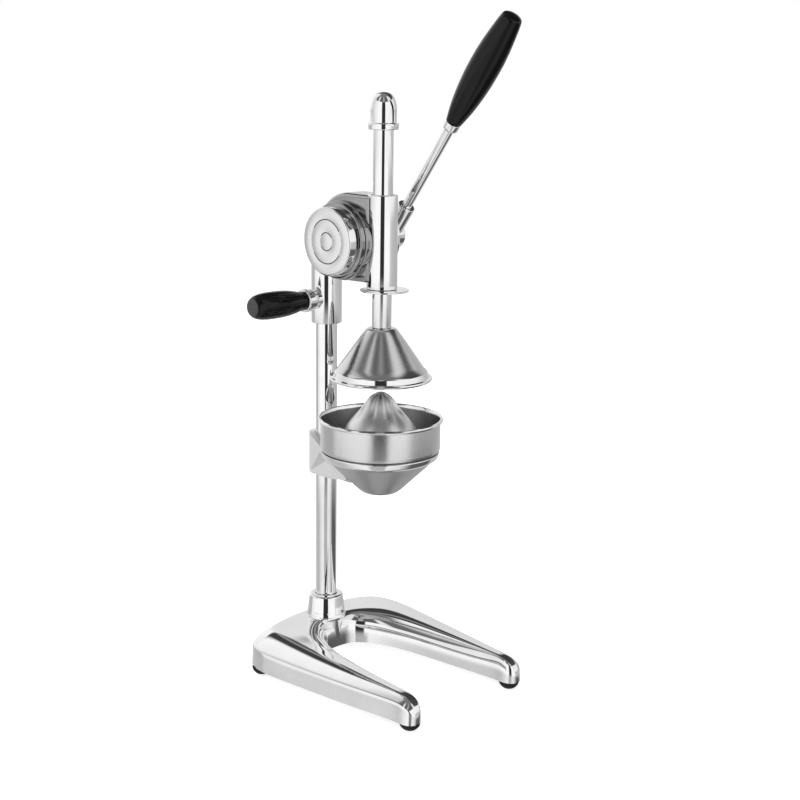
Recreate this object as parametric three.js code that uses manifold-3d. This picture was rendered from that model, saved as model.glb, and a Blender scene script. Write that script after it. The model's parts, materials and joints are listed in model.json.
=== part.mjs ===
// Lever citrus juice press: a chromed column on a forked base carries a geared
// head, a press rod with a bell, a strainer cup with reamer and a funnel.
// Millimetres, +Z up, the press faces -Y, its lever turns on the +X side.
import * as THREE from 'three';
import { mergeVertices } from 'three/addons/utils/BufferGeometryUtils.js';
import Module from 'manifold-3d';

const wasm = await Module();
wasm.setup();

// Clearances and shared cutter overrun
const seatGap = 0.3;
const overrun = 4;

// Press rod and column, both round bars
const rodRadius = 10;
const columnRadius = 11.25;
const columnOffset = 83;
const columnBottom = 22;
const columnTop = 466;

// Base casting: a fork of two legs joined by a crossbar with the column socket
const baseLift = 8;
const baseWall = 5;
const lipHeight = 12;
const frontRidgeHeight = 38;
const rearRidgeHeight = 40.5;
const plateHeight = 41;
const baseRearReach = 30;
const baseHalfWidth = 104;
const noseReach = 121;
const noseInset = 32.3;
const noseMiddle = baseHalfWidth - noseInset;
const noseHalfWidth = 11.1;
const socketHeight = 65;
const socketTopRadius = 18;
const socketFootRadius = 20.5;
const socketFloor = 14;
const boltHoleRadius = 4.5;
const boltRecessRadius = 10.5;

// Rubber feet
const footRadius = 10.5;
const footFlatRadius = 6;
const footStemRadius = 4;
const footStemHeight = 6;
const frontFootX = noseMiddle;
const rearFootInset = 11.2;
const rearFootX = baseHalfWidth - rearFootInset;
const rearFootReach = 4;

// Column bolt under the base
const boltRadius = 4;
const boltHeadRadius = 7.2;
const boltHeadHeight = 5;
const washerThickness = 1.6;
const washerRadius = 9;
const boltDepth = 20;

// The level that carries cup, reamer, funnel and bracket
const funnelTop = 242.2;

// Bracket that carries the funnel
const bracketDrop = 39.7;
const bracketHeight = 43.5;
const bracketBottom = funnelTop - bracketDrop;
const bracketTop = bracketBottom + bracketHeight;
const bracketRadius = 18.5;
const bracketToe = 31;
const bracketToeRise = 3.8;
const bracketToeThickness = 2;
const bracketPadHalfWidth = 13;
const bracketPadRear = 72;
const bracketPocketDepth = 5.5;
const setScrewRadius = 4;
const setScrewLength = 6.4;

// Funnel below the strainer cup
const funnelRadius = 60.4;
const funnelWall = 2;
const funnelShoulder = 8.5;
const funnelShoulderRadius = 55;
const funnelDepth = 44.2;
const funnelBottom = funnelTop - funnelDepth;
const funnelFootRadius = 20;
const funnelFootRise = 1.6;
const spoutRadius = 9;
const funnelScrewRadius = 2;
const funnelScrewHeadRadius = 3.6;

// Strainer cup with rolled rim
const cupHeight = 34.8;
const cupRim = funnelTop + cupHeight;
const cupRimRadius = 63.8;
const cupRadius = 61.1;
const cupFootRadius = 60.3;
const cupWall = 1.3;
const beadRadius = 1.9;
const drainCount = 18;
const drainWidth = 2.6;
const drainInner = 47.5;
const drainOuter = 56;

// Reamer cone
const reamerHeight = 60.8;
const reamerTop = funnelTop + reamerHeight;
const reamerFootRadius = 45.5;
const reamerFootHeight = 4;
const reamerWaistRadius = 38;
const reamerWaistRise = 21.8;
const reamerWaistHeight = funnelTop + reamerWaistRise;
const reamerTipRadius = 9;
const reamerTipDrop = 5;
const reamerTipHeight = reamerTop - reamerTipDrop;
const reamerRibCount = 8;
const reamerRibDepth = 1.7;
const reamerRibRise = 15;
const reamerRibStart = reamerWaistHeight + reamerRibRise;
const reamerStemRadius = 7;
const reamerStemLength = 5;

// Bell that presses the fruit
const bellTop = 368.9;
const bellRim = 316;
const bellTopRadius = 15.6;
const bellRimRadius = 52;
const bellWall = 1.4;
const bellBulge = 1.6;
const bellBandHeight = 6;
const bellStudRadius = 5;
const bellNutRadius = 8;
const bellNutHeight = 6;
const bellWasherRadius = 11;

// Rod cap
const capFlangeBottom = 564.2;
const capFlangeHeight = 3.8;
const capFlangeRadius = 15;
const capRadius = 12.9;
const capTop = 600.2;
const capWall = 13;

// Head casting
const sleeveTop = 501.4;
const sleeveBottom = 408.3;
const sleeveTopRadius = 14.9;
const sleeveFootRadius = 15.5;
const rearSleeveRadius = 16;
const rearSleeveBottom = 363;
const rearSleeveTop = 470;
const housingRadius = 43.4;
const housingCentreHeight = 456.4;
const housingHalfWidth = 17;
const housingEdge = 2.5;
const housingTop = 499.8;
const housingFloor = 414;

// Gear pair inside the head
const pinionAxisOffset = 37.7;
const pinionAxisHeight = 454.35;
const rackPitchOffset = 7.2;
const toothCount = 20;
const addendum = 2.3;
const dedendum = 2.9;
const toothBacklash = 0.55;
const pressureAngle = 20 * Math.PI / 180;
const pinionWidth = 16;
const rackTeeth = 13;
const rackMiddle = 459;
const gearClearance = 1.3;

// Pinion shaft with its bushes, key and lever hub
const shaftRadius = 8;
const bushWall = 2.5;
const keyWidth = 4;
const keyHeight = 3;
const leftWallThickness = 10;
const gearCoverThickness = 4;
const gearCoverRadius = 41.5;
const gearCoverBossRadius = 15;
const gearCoverBossEnd = 33;
const coverScrewCircle = 38.8;
const coverScrewRadius = 1.8;
const coverScrewHeadRadius = 3.2;
const coverScrewHeadHeight = 2;
const coverScrewLength = 9;

// Spring drum on the left of the head
const drumRadius = 38;
const drumRootRadius = 39.5;
const drumRootEnd = 22.6;
const drumEnd = 28.6;
const drumBoreRadius = 31;
const springCoverRadius = 34.2;
const springCoverEnd = 40.8;
const springCoverWall = 2;
const springCoverEdge = 1.6;
const grooveRadii = [22.3, 9];
const grooveWidth = 0.9;
const grooveDepth = 0.6;
const springTurns = 5;
const springStrip = 1.3;
const springWidth = 13;
const springPinRadius = 2;

// Lever with its hub, ferrule and grip
const leverPlane = 47;
const leverLean = 36.3 * Math.PI / 180;
const leverRodRadius = 5;
const leverFootDistance = 19;
const hubRadius = 14;
const hubStart = 35;
const hubEnd = 56.5;
const hubEdge = 2.5;
const leverSocketRadius = 9;
const leverSocketEnd = 39.6;
const hubPinRadius = 2;
const leverPinDistance = 30;
const ferruleStart = 137.5;
const ferruleLength = 9;
const ferruleRadius = 7.9;
const gripLength = 125;
const gripRootRadius = 7.6;
const gripMaxRadius = 15.3;
const gripTipRadius = 9.2;
const leverTangLength = 92;

// Fixed side handle that steadies the press
const handleHeight = 388.5;
const handleBossRadius = 9.5;
const handleBossEnd = 18.6;
const handleFerruleLength = 13.6;
const handleFerruleRadius = 12.2;
const handleGripLength = 66;
const handleNeckRadius = 10;
const handleMaxRadius = 13.9;
const handleEndRadius = 8.8;
const handleStudRadius = 4;
const handleStudReach = 50;

// Guard disc and rod bushes of the front sleeve
const rodBushWall = 1.5;
const rodBushLength = 24;
const bushLip = 13.4;
const guardRadius = 24.5;
const guardThickness = 1.7;
const guardShift = 3.7;
const lipThickness = 1.4;

// Facet counts
const roundFacets = 28;
const midFacets = 16;
const smallFacets = 10;
const edgeSteps = 3;

// Finishes
const finish = (colour, roughness, metalness) =>
  new THREE.MeshStandardMaterial({ color: colour, roughness, metalness });
const chrome = finish(0xd9dcde, 0.08, 1);
const satinSteel = finish(0xb4b6b7, 0.36, 1);
const castSatin = finish(0xc4c6c8, 0.42, 0.9);
const blackPlastic = finish(0x141414, 0.42, 0);
const rubber = finish(0x101010, 0.75, 0);
const bronze = finish(0xb08a4a, 0.45, 1);
const machinedSteel = finish(0x9a9c9e, 0.35, 1);
const springSteel = finish(0x54585c, 0.4, 1);

// Solids: closed meshes go into the boolean library and come back as geometry
function solidFrom(geometry) {
  const bare = geometry.clone();
  bare.deleteAttribute('normal');
  bare.deleteAttribute('uv');
  const merged = mergeVertices(bare, 1e-4);
  return new wasm.Manifold(new wasm.Mesh({
    numProp: 3,
    vertProperties: new Float32Array(merged.attributes.position.array),
    triVerts: new Uint32Array(merged.index.array),
  }));
}

function geometryFrom(solid) {
  const mesh = solid.getMesh();
  const geometry = new THREE.BufferGeometry();
  geometry.setAttribute('position', new THREE.BufferAttribute(mesh.vertProperties, mesh.numProp));
  geometry.setIndex(new THREE.BufferAttribute(mesh.triVerts, 1));
  geometry.computeVertexNormals();
  return geometry;
}

const joined = (solids) => solids.reduce((whole, piece) => whole.add(piece));
const without = (solid, cutters) => cutters.reduce((left, cutter) => left.subtract(cutter), solid);

// A round bar between two heights, standing along Z
function bar(radius, bottom, top, facets = midFacets, topRadius = radius) {
  const geometry = new THREE.CylinderGeometry(topRadius, radius, top - bottom, facets);
  geometry.rotateX(Math.PI / 2);
  geometry.translate(0, 0, (top + bottom) / 2);
  return solidFrom(geometry);
}

// A profile of [radius, height] points turned about Z
function turned(profile, facets = roundFacets) {
  const points = profile.map(([radius, height]) => new THREE.Vector2(radius, height));
  if (profile[0][0] > 0) points.push(points[0].clone());
  const geometry = new THREE.LatheGeometry(points, facets);
  geometry.rotateX(Math.PI / 2);
  const solid = solidFrom(geometry);
  return solid.volume() < 0 ? solidFrom(flipped(geometry)) : solid;
}

function flipped(geometry) {
  const index = geometry.index.array;
  for (let i = 0; i < index.length; i += 3) [index[i], index[i + 1]] = [index[i + 1], index[i]];
  return geometry;
}

const alongX = (solid) => solid.rotate([0, 90, 0]);
const alongY = (solid) => solid.rotate([-90, 0, 0]);

// A bar along X between two places, on the axis (y, z)
function crossBar(radius, start, end, y, z, facets = midFacets) {
  return alongX(bar(radius, start, end, facets)).translate([0, y, z]);
}

function block(sizeX, sizeY, sizeZ, x, y, z) {
  return solidFrom(new THREE.BoxGeometry(sizeX, sizeY, sizeZ)).translate([x, y, z]);
}

// Points on a quarter arc, from the direction of `from` to that of `to`
function arc(centreX, centreY, radius, from, to, steps = edgeSteps) {
  return Array.from({ length: steps + 1 }, (_, i) => {
    const angle = from + (to - from) * i / steps;
    return [centreX + radius * Math.cos(angle), centreY + radius * Math.sin(angle)];
  });
}

const quarter = Math.PI / 2;
const full = Math.PI * 2;

// A flat outline of [x, y] points given a thickness along Z
function slab(outline, thickness) {
  const shape = new THREE.Shape(outline.map(([x, y]) => new THREE.Vector2(x, y)));
  return solidFrom(new THREE.ExtrudeGeometry(shape, { depth: thickness, bevelEnabled: false }));
}

// An outline in the side view (y, z), given a width centred on x
function sidePlate(outline, width, x = 0) {
  const shape = new THREE.Shape(outline.map(([y, z]) => new THREE.Vector2(y, z)));
  const geometry = new THREE.ExtrudeGeometry(shape, { depth: width, bevelEnabled: false });
  geometry.applyMatrix4(new THREE.Matrix4().set(0, 0, 1, x - width / 2, 1, 0, 0, 0, 0, 1, 0, 0, 0, 0, 0, 1));
  return solidFrom(geometry);
}

// Rings of equal point counts skinned into one closed solid
function skinned(rings) {
  const count = rings[0].length;
  const positions = rings.flat(2);
  const index = [];
  for (let ring = 0; ring + 1 < rings.length; ring += 1) {
    for (let i = 0; i < count; i += 1) {
      const a = ring * count + i;
      const b = ring * count + (i + 1) % count;
      index.push(a, b, b + count, a, b + count, a + count);
    }
  }
  const last = (rings.length - 1) * count;
  for (let i = 1; i + 1 < count; i += 1) {
    index.push(0, i + 1, i);
    index.push(last, last + i, last + i + 1);
  }
  const geometry = new THREE.BufferGeometry();
  geometry.setAttribute('position', new THREE.Float32BufferAttribute(positions, 3));
  geometry.setIndex(index);
  const solid = solidFrom(geometry);
  return solid.volume() < 0 ? solidFrom(flipped(geometry)) : solid;
}

// The assembled press, with every piece as its own named mesh
const press = new THREE.Group();

function place(name, solid, material, parent = press) {
  const mesh = new THREE.Mesh(geometryFrom(solid), material);
  mesh.name = name;
  parent.add(mesh);
  return mesh;
}

// Base: stations along the right leg and crossbar, each with its outer wall,
// outer ridge, inner ridge and inner wall in plan, as shares of the fork's size
const forkDepth = noseReach + columnOffset + baseRearReach;
const stationShares = [
  { outer: [0.87, 0.261], ridge: [0.721, 0.261], crest: [0.707, 0.261], inner: [0.51, 0.261] },
  { outer: [0.933, 0.496], ridge: [0.721, 0.496], crest: [0.697, 0.496], inner: [0.433, 0.517] },
  { outer: [0.974, 0.667], ridge: [0.721, 0.667], crest: [0.615, 0.658], inner: [0.385, 0.637] },
  { outer: [1, 0.795], ridge: [0.716, 0.799], crest: [0.519, 0.739], inner: [0.317, 0.709] },
  { outer: [0.966, 0.885], ridge: [0.683, 0.872], crest: [0.423, 0.782], inner: [0.25, 0.748] },
  { outer: [0.846, 0.949], ridge: [0.596, 0.91], crest: [0.317, 0.812], inner: [0.192, 0.774] },
  { outer: [0.442, 0.987], ridge: [0.346, 0.942], crest: [0.183, 0.829], inner: [0.111, 0.784] },
  { outer: [0, 1], ridge: [0, 0.957], crest: [0, 0.833], inner: [0, 0.786] },
];

const planPoint = ([across, along]) => [across * baseHalfWidth, along * forkDepth - noseReach];

const ridgeHeightAt = (y) => frontRidgeHeight
  + (rearRidgeHeight - frontRidgeHeight) * (y + noseReach) / (noseReach + columnOffset);

// The nose narrows its sections round a half circle in plan: share of the quarter
// turn, and the share of the height that is left there
const noseFlatShare = 0.1;
const noseShares = [[0.97, 0.14], [0.82, 0.38], [0.6, 0.67], [0.35, 0.88], [0, 1]];

function noseStations() {
  return noseShares.map(([turnShare, fall]) => {
    const turn = turnShare * quarter;
    const reach = -noseReach - noseHalfWidth * Math.sin(turn);
    const width = noseHalfWidth * Math.cos(turn);
    return {
      outer: [noseMiddle + width, reach], ridge: [noseMiddle + width * noseFlatShare, reach],
      crest: [noseMiddle - width * noseFlatShare, reach], inner: [noseMiddle - width, reach],
      fall,
    };
  });
}

function rightStations() {
  const along = stationShares.map((share) => ({
    outer: planPoint(share.outer), ridge: planPoint(share.ridge),
    crest: planPoint(share.crest), inner: planPoint(share.inner), fall: 1,
  }));
  return [...noseStations(), ...along];
}

const mixed = (from, to, share) => [0, 1].map((axis) => from[axis] + (to[axis] - from[axis]) * share);
const stepped = (from, to, distance) =>
  mixed(from, to, distance / Math.hypot(to[0] - from[0], to[1] - from[1]));

// One cross-section, walked from the outer wall over the top to the inner wall
function baseSection(station, inset) {
  const spread = inset * station.fall;
  const outer = inset ? stepped(station.outer, station.inner, spread) : station.outer;
  const inner = inset ? stepped(station.inner, station.outer, spread) : station.inner;
  const ridgeHeight = ridgeHeightAt(station.ridge[1]);
  const lip = baseLift + lipHeight;
  const top = lip + (ridgeHeight - lip) * station.fall - inset;
  const isPlate = station.crest[1] > 0 ? 1 : 0;
  const crestTop = isPlate ? Math.min(top, plateHeight - inset) : top;
  const outerTop = lip + (top - lip) * 0.3;
  const bottom = inset ? baseLift - overrun : baseLift;
  const section = [[...outer, bottom], [...outer, outerTop]];
  for (const angleShare of [0.3, 0.62]) {
    const turn = angleShare * quarter;
    section.push([...mixed(station.ridge, outer, Math.cos(turn)), outerTop + (top - outerTop) * Math.sin(turn)]);
  }
  section.push([...station.ridge, top]);
  section.push([...station.crest, crestTop]);
  const innerTop = lip - inset;
  for (const angleShare of [0.62, 0.3]) {
    const turn = angleShare * quarter;
    section.push([...mixed(station.crest, inner, Math.cos(turn)), innerTop + (crestTop - innerTop) * Math.sin(turn)]);
  }
  section.push([...inner, innerTop], [...inner, bottom]);
  return section;
}

function forkSolid(inset) {
  const right = rightStations();
  const left = right.slice(0, -1).reverse();
  const rings = right.map((station) => baseSection(station, inset));
  const mirrored = left.map((station) => baseSection(station, inset).map(([x, y, z]) => [-x, y, z]));
  return skinned([...rings, ...mirrored]);
}

const footPlaces = [
  ['foot_front_left', -frontFootX, -noseReach],
  ['foot_front_right', frontFootX, -noseReach],
  ['foot_rear_left', -rearFootX, columnOffset - rearFootReach],
  ['foot_rear_right', rearFootX, columnOffset - rearFootReach],
];

function makeBase() {
  const outside = forkSolid(0);
  const footPosts = footPlaces.map(([, x, y]) =>
    bar(footRadius + seatGap, baseLift - overrun, rearRidgeHeight, smallFacets).translate([x, y, 0]));
  const socketPost = bar(socketFootRadius, baseLift - overrun, rearRidgeHeight).translate([0, columnOffset, 0]);
  const hollow = without(forkSolid(baseWall), [...footPosts, socketPost]);
  const edge = 2;
  const socket = turned([
    [0, baseLift], [socketFootRadius, baseLift], [socketFootRadius, plateHeight - edge],
    [socketFootRadius - edge / 2, plateHeight + edge / 2],
    [socketTopRadius, socketHeight - edge], [socketTopRadius - edge, socketHeight], [0, socketHeight],
  ]).translate([0, columnOffset, 0]);
  const bore = bar(columnRadius + seatGap, columnBottom - seatGap, socketHeight + overrun, roundFacets);
  const boltHole = bar(boltHoleRadius, baseLift - overrun, columnBottom + overrun, smallFacets);
  const recess = bar(boltRecessRadius, baseLift - overrun, socketFloor, midFacets);
  const stems = footPlaces.map(([, x, y]) =>
    bar(footStemRadius + seatGap, baseLift - overrun, baseLift + footStemHeight + seatGap, smallFacets)
      .translate([x, y, 0]));
  const atColumn = [bore, boltHole, recess].map((cutter) => cutter.translate([0, columnOffset, 0]));
  return without(outside.add(socket), [hollow, ...atColumn, ...stems]);
}

// Rubber foot with a flat tread and a stem pushed up into the casting
function makeFoot() {
  const top = baseLift - seatGap;
  const stemTop = baseLift + footStemHeight;
  const round = (footRadius - footFlatRadius) * 0.4;
  return turned([
    [0, 0], [footFlatRadius, 0], [footRadius - round, round], [footRadius, footRadius - footFlatRadius],
    [footRadius, top], [footStemRadius, top], [footStemRadius, stemTop], [0, stemTop],
  ], smallFacets);
}

const columnBoltFace = socketFloor - seatGap;

function makeColumn() {
  const edge = 1;
  const tapped = bar(boltRadius + seatGap, columnBottom - overrun, columnBottom + boltDepth + seatGap, smallFacets);
  const round = turned([
    [0, columnBottom], [columnRadius - edge, columnBottom], [columnRadius, columnBottom + edge],
    [columnRadius, columnTop - edge], [columnRadius - edge, columnTop], [0, columnTop],
  ]);
  return round.subtract(tapped);
}

function makeColumnWasher() {
  return without(bar(washerRadius, columnBoltFace - washerThickness, columnBoltFace, smallFacets),
    [bar(boltRadius + seatGap, 0, socketHeight, smallFacets)]);
}

function makeColumnBolt() {
  const headTop = columnBoltFace - washerThickness - seatGap;
  return bar(boltHeadRadius, headTop - boltHeadHeight, headTop, 6)
    .add(bar(boltRadius, headTop - boltHeadHeight / 2, columnBottom + boltDepth, smallFacets));
}

// Funnel: outer and inner skins share one list of levels
const funnelProfile = (grow) => [
  [funnelFootRadius * 0.72 + grow / 2, funnelBottom - grow],
  [funnelFootRadius + grow * 0.8, funnelBottom + funnelFootRise - grow * 0.6],
  [funnelShoulderRadius + grow * 0.7, funnelTop - funnelShoulder - grow * 0.7],
  [funnelShoulderRadius + (funnelRadius - funnelShoulderRadius) * 0.6 + grow * 0.8,
    funnelTop - funnelShoulder * 0.72 - grow * 0.4],
  [funnelRadius + grow, funnelTop - funnelShoulder * 0.32],
  [funnelRadius + grow, funnelTop],
];

function makeFunnel() {
  const outside = turned([[0, funnelBottom], ...funnelProfile(0), [0, funnelTop]]);
  const inside = turned([
    [0, funnelBottom + funnelWall], ...funnelProfile(-funnelWall),
    [funnelRadius - funnelWall, funnelTop + overrun], [0, funnelTop + overrun],
  ]);
  const spout = bar(spoutRadius, funnelBottom - overrun, funnelBottom + overrun + funnelWall, midFacets);
  return without(outside, [inside, spout, ...funnelScrewHoles()]);
}

// Two countersunk screws through the funnel wall into the bracket
const funnelScrewSpread = 9;
const funnelScrewReach = 40;
const coneRun = funnelShoulderRadius - funnelFootRadius;
const coneFoot = funnelBottom + funnelFootRise;
const coneRise = funnelTop - funnelShoulder - coneFoot;
const coneTilt = Math.atan2(coneRise, coneRun);
const coneHeightAt = (radius) => coneFoot + (radius - funnelFootRadius) * coneRise / coneRun;

function onFunnelWall(solid, sideways) {
  const reach = Math.sqrt(funnelScrewReach ** 2 - sideways ** 2);
  return solid.rotate([coneTilt * 180 / Math.PI, 0, 0])
    .translate([sideways, reach, coneHeightAt(funnelScrewReach)]);
}

function funnelScrewHoles() {
  return [-funnelScrewSpread, funnelScrewSpread].map((sideways) =>
    onFunnelWall(bar(funnelScrewRadius + seatGap, -overrun, overrun, smallFacets), sideways));
}

function makeFunnelScrew(sideways) {
  const headBottom = funnelWall + seatGap * 3;
  return onFunnelWall(bar(funnelScrewRadius, -overrun * 2, headBottom + seatGap, smallFacets)
    .add(bar(funnelScrewHeadRadius, headBottom, headBottom + washerThickness, smallFacets)), sideways);
}

// Bracket: a clamp round the column with a gusset saddled to the funnel
function makeBracket() {
  const rear = columnOffset + bracketRadius;
  const shoulder = columnOffset + bracketRadius * 0.4;
  const toeBottom = bracketBottom + bracketToeRise;
  const cheeks = sidePlate([
    [bracketToe, toeBottom], [(bracketToe + columnOffset) / 2, bracketBottom], [rear, bracketBottom],
    [rear, bracketTop], [shoulder, bracketTop], [bracketToe, toeBottom + bracketToeThickness],
  ], bracketRadius * 2);
  const padHeight = funnelTop - funnelShoulder - bracketBottom - bracketToeRise;
  const pad = block(bracketPadHalfWidth * 2, bracketPadRear - bracketToe, padHeight,
    0, (bracketPadRear + bracketToe) / 2, toeBottom + padHeight / 2);
  const clampPlan = [
    ...arc(0, columnOffset, bracketRadius, Math.PI, 0, 12),
    [bracketRadius, bracketToe], [-bracketRadius, bracketToe],
  ];
  const clamp = slab(clampPlan, bracketTop).translate([0, 0, bracketBottom - overrun]);
  const bore = bar(columnRadius + seatGap, bracketBottom - overrun, bracketTop * 1.2, roundFacets)
    .translate([0, columnOffset, 0]);
  const saddle = turned([
    [0, funnelBottom - seatGap], ...funnelProfile(seatGap), [0, funnelTop],
  ]);
  const screwHole = alongY(bar(setScrewRadius + seatGap, 0, bracketRadius * 2, smallFacets))
    .translate([0, columnOffset, (bracketBottom + bracketTop) / 2]);
  const tapped = [-funnelScrewSpread, funnelScrewSpread].map((sideways) =>
    onFunnelWall(bar(funnelScrewRadius + seatGap, -overrun * 2 - seatGap, overrun, smallFacets), sideways));
  return without(cheeks.add(pad).intersect(clamp), [bore, saddle, screwHole, ...tapped, ...bracketPockets()]);
}

// A shallow three-sided pocket lightens each cheek of the bracket
function bracketPockets() {
  const rise = bracketTop - bracketBottom;
  const run = columnOffset - bracketToe;
  const apex = [bracketToe + run * 0.75, bracketBottom + rise * 0.35];
  const corners = [
    [bracketToe + run * 1.1, bracketBottom + rise * 0.05],
    [bracketToe + run * 0.8, bracketBottom + rise * 0.6],
    [bracketToe + run * 0.22, bracketBottom + rise * 0.12],
  ];
  const reach = (bracketPocketDepth + overrun) / bracketPocketDepth;
  return [-1, 1].map((side) => {
    const inner = side * (bracketRadius - bracketPocketDepth);
    const outerX = side * (bracketRadius + overrun);
    const tip = [[inner, ...apex], [inner, apex[0] + 0.01, apex[1]], [inner, apex[0], apex[1] + 0.01]];
    const mouth = corners.map((corner) => [outerX, ...mixed(apex, corner, reach)]);
    return skinned([tip, [mouth[2], mouth[0], mouth[1]]]);
  });
}

function makeBracketScrew() {
  const start = columnOffset + columnRadius + seatGap * 2;
  return alongY(bar(setScrewRadius, start, start + setScrewLength, smallFacets))
    .translate([0, 0, (bracketBottom + bracketTop) / 2]);
}

// Strainer cup: rolled rim, straight wall, drained floor and a locating ring
const cupFloor = funnelTop + seatGap;

function makeCup() {
  const wallTop = cupRim - beadRadius * 2;
  const bead = arc(cupRimRadius - beadRadius, cupRim - beadRadius, beadRadius, -quarter * 0.8, quarter * 2.4, 5);
  const ringOuter = funnelRadius - funnelWall - seatGap;
  const profile = [
    [reamerStemRadius + seatGap, cupFloor], [ringOuter - cupWall, cupFloor],
    [ringOuter - cupWall, cupFloor - 3], [ringOuter, cupFloor - 3], [ringOuter, cupFloor],
    [cupFootRadius, cupFloor], [cupRadius, cupFloor + 4], [cupRadius, wallTop],
    ...bead,
    [cupRadius - cupWall, wallTop], [cupRadius - cupWall, cupFloor + 4 + cupWall],
    [cupFootRadius - cupWall * 1.6, cupFloor + cupWall], [reamerStemRadius + seatGap, cupFloor + cupWall],
  ];
  const drains = Array.from({ length: drainCount }, (_, i) =>
    block(drainOuter - drainInner, drainWidth, overrun * 2, (drainOuter + drainInner) / 2, 0, cupFloor)
      .rotate([0, 0, (i + 0.5) * 360 / drainCount]));
  return without(turned(profile), drains);
}

// Reamer: a flared cone whose top carries low ribs, with a stem for the cup
function makeReamer() {
  const foot = cupFloor + cupWall + seatGap;
  const levels = [
    [reamerFootRadius, foot], [reamerFootRadius, foot + reamerFootHeight * 0.5],
    [reamerFootRadius * 0.96, foot + reamerFootHeight],
    [reamerWaistRadius, reamerWaistHeight],
    [reamerWaistRadius - (reamerRibStart - reamerWaistHeight) * 0.76, reamerRibStart],
    [reamerTipRadius + (reamerTipHeight - reamerRibStart) * 0.42, (reamerRibStart + reamerTipHeight) / 2],
    [reamerTipRadius, reamerTipHeight], [reamerTipRadius * 0.55, reamerTop - 1.2],
  ];
  const ringAt = ([radius, height]) => Array.from({ length: midFacets }, (_, i) => {
    const angle = i / midFacets * full;
    const lift = height > reamerRibStart && height <= reamerTipHeight ? reamerRibDepth : 0;
    const ribbed = radius + lift * Math.cos(angle * reamerRibCount);
    return [ribbed * Math.cos(angle), ribbed * Math.sin(angle), height];
  });
  const tip = levels.at(-1);
  const crown = ringAt([tip[0] * 0.3, reamerTop]);
  const cone = skinned([...levels.map(ringAt), crown]);
  const stem = bar(reamerStemRadius, foot - reamerStemLength, foot + reamerFootHeight, smallFacets);
  const hollow = turned([
    [0, foot + overrun], [reamerFootRadius * 0.8, foot - overrun], [reamerFootRadius * 0.9, foot - overrun],
    [reamerFootRadius * 0.86, foot + reamerFootHeight * 0.6], [reamerWaistRadius * 0.8, reamerWaistHeight],
    [reamerTipRadius, reamerTipHeight - 9], [0, reamerTipHeight - 7],
  ], midFacets);
  const core = bar(reamerStemRadius, foot - reamerStemLength, reamerTipHeight - 4, smallFacets);
  return joined([cone.subtract(hollow), stem, core]);
}

// Bell: a thin cone shell with a flat crown and a rolled rim
function makeBell() {
  const edge = 3;
  const run = bellRimRadius - beadRadius - bellTopRadius;
  const drop = bellTop - bellRim;
  const flank = (inset) => [0.08, 0.3, 0.55, 0.8].map((share) => [
    bellTopRadius + run * share + bellBulge * 2 * Math.sin(share * Math.PI) - inset,
    bellTop - drop * share - inset * 0.7,
  ]);
  const rimRadius = bellRimRadius - beadRadius;
  const band = bellRim + bellBandHeight;
  const profile = [
    [bellStudRadius + seatGap, bellTop], [bellTopRadius - edge, bellTop], ...flank(0),
    [rimRadius, band],
    ...arc(rimRadius, bellRim + beadRadius, beadRadius, quarter, -quarter, 4),
    [rimRadius - bellWall, bellRim], [rimRadius - bellWall, band - bellWall],
    ...flank(bellWall).reverse(), [bellTopRadius - edge, bellTop - bellWall],
    [bellStudRadius + seatGap, bellTop - bellWall],
  ];
  return turned(profile);
}

const bellFloor = bellTop - bellWall - seatGap;

function makeBellWasher() {
  return bar(bellWasherRadius, bellFloor - washerThickness, bellFloor, smallFacets)
    .subtract(bar(bellStudRadius + seatGap, 0, bellTop, smallFacets));
}

function makeBellNut() {
  const top = bellFloor - washerThickness - seatGap;
  const dome = turned([
    [0, top - bellNutHeight * 1.7], [bellNutRadius * 0.55, top - bellNutHeight * 1.5],
    [bellNutRadius * 0.8, top - bellNutHeight], [bellNutRadius * 0.8, top - bellNutHeight / 2],
    [0, top - bellNutHeight / 2],
  ], smallFacets);
  const hole = bar(bellStudRadius + seatGap, top - bellNutHeight, top + overrun, smallFacets);
  return bar(bellNutRadius, top - bellNutHeight, top, 6).add(dome).subtract(hole);
}

// Gear pair: the rack is cut in the back of the rod, the pinion turns behind it
const pitchRadius = pinionAxisOffset - rackPitchOffset;
const toothPitch = full * pitchRadius / toothCount;

function rackGap(height) {
  const spread = Math.tan(pressureAngle);
  const half = toothPitch / 4 + toothBacklash / 2;
  const root = rackPitchOffset - dedendum;
  const mouth = rodRadius + overrun;
  const widthAt = (offset) => half + (offset - rackPitchOffset) * spread;
  return sidePlate([
    [root, height - widthAt(root)], [mouth, height - widthAt(mouth)],
    [mouth, height + widthAt(mouth)], [root, height + widthAt(root)],
  ], rodRadius * 2 + overrun);
}

function makeRod() {
  const edge = 1;
  const bottom = bellTop + seatGap;
  const top = capTop - capWall - seatGap;
  const stud = bar(bellStudRadius, bellFloor - washerThickness - bellNutHeight + edge, bottom + edge, smallFacets);
  const round = turned([
    [0, bottom], [rodRadius - edge / 2, bottom], [rodRadius, bottom + edge / 2],
    [rodRadius, top - edge], [rodRadius - edge, top], [0, top],
  ], midFacets);
  const first = Math.ceil((rackMiddle - pinionAxisHeight) / toothPitch - rackTeeth / 2);
  const gaps = Array.from({ length: rackTeeth }, (_, i) => rackGap(pinionAxisHeight + (first + i) * toothPitch));
  const tipOffset = rackPitchOffset + addendum;
  const rackLength = rackTeeth * toothPitch;
  const flat = block(rodRadius * 2, rodRadius, rackLength, 0, tipOffset + rodRadius / 2,
    pinionAxisHeight + (first + (rackTeeth - 1) / 2) * toothPitch);
  return without(round, [flat, ...gaps]).add(stud);
}

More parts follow.
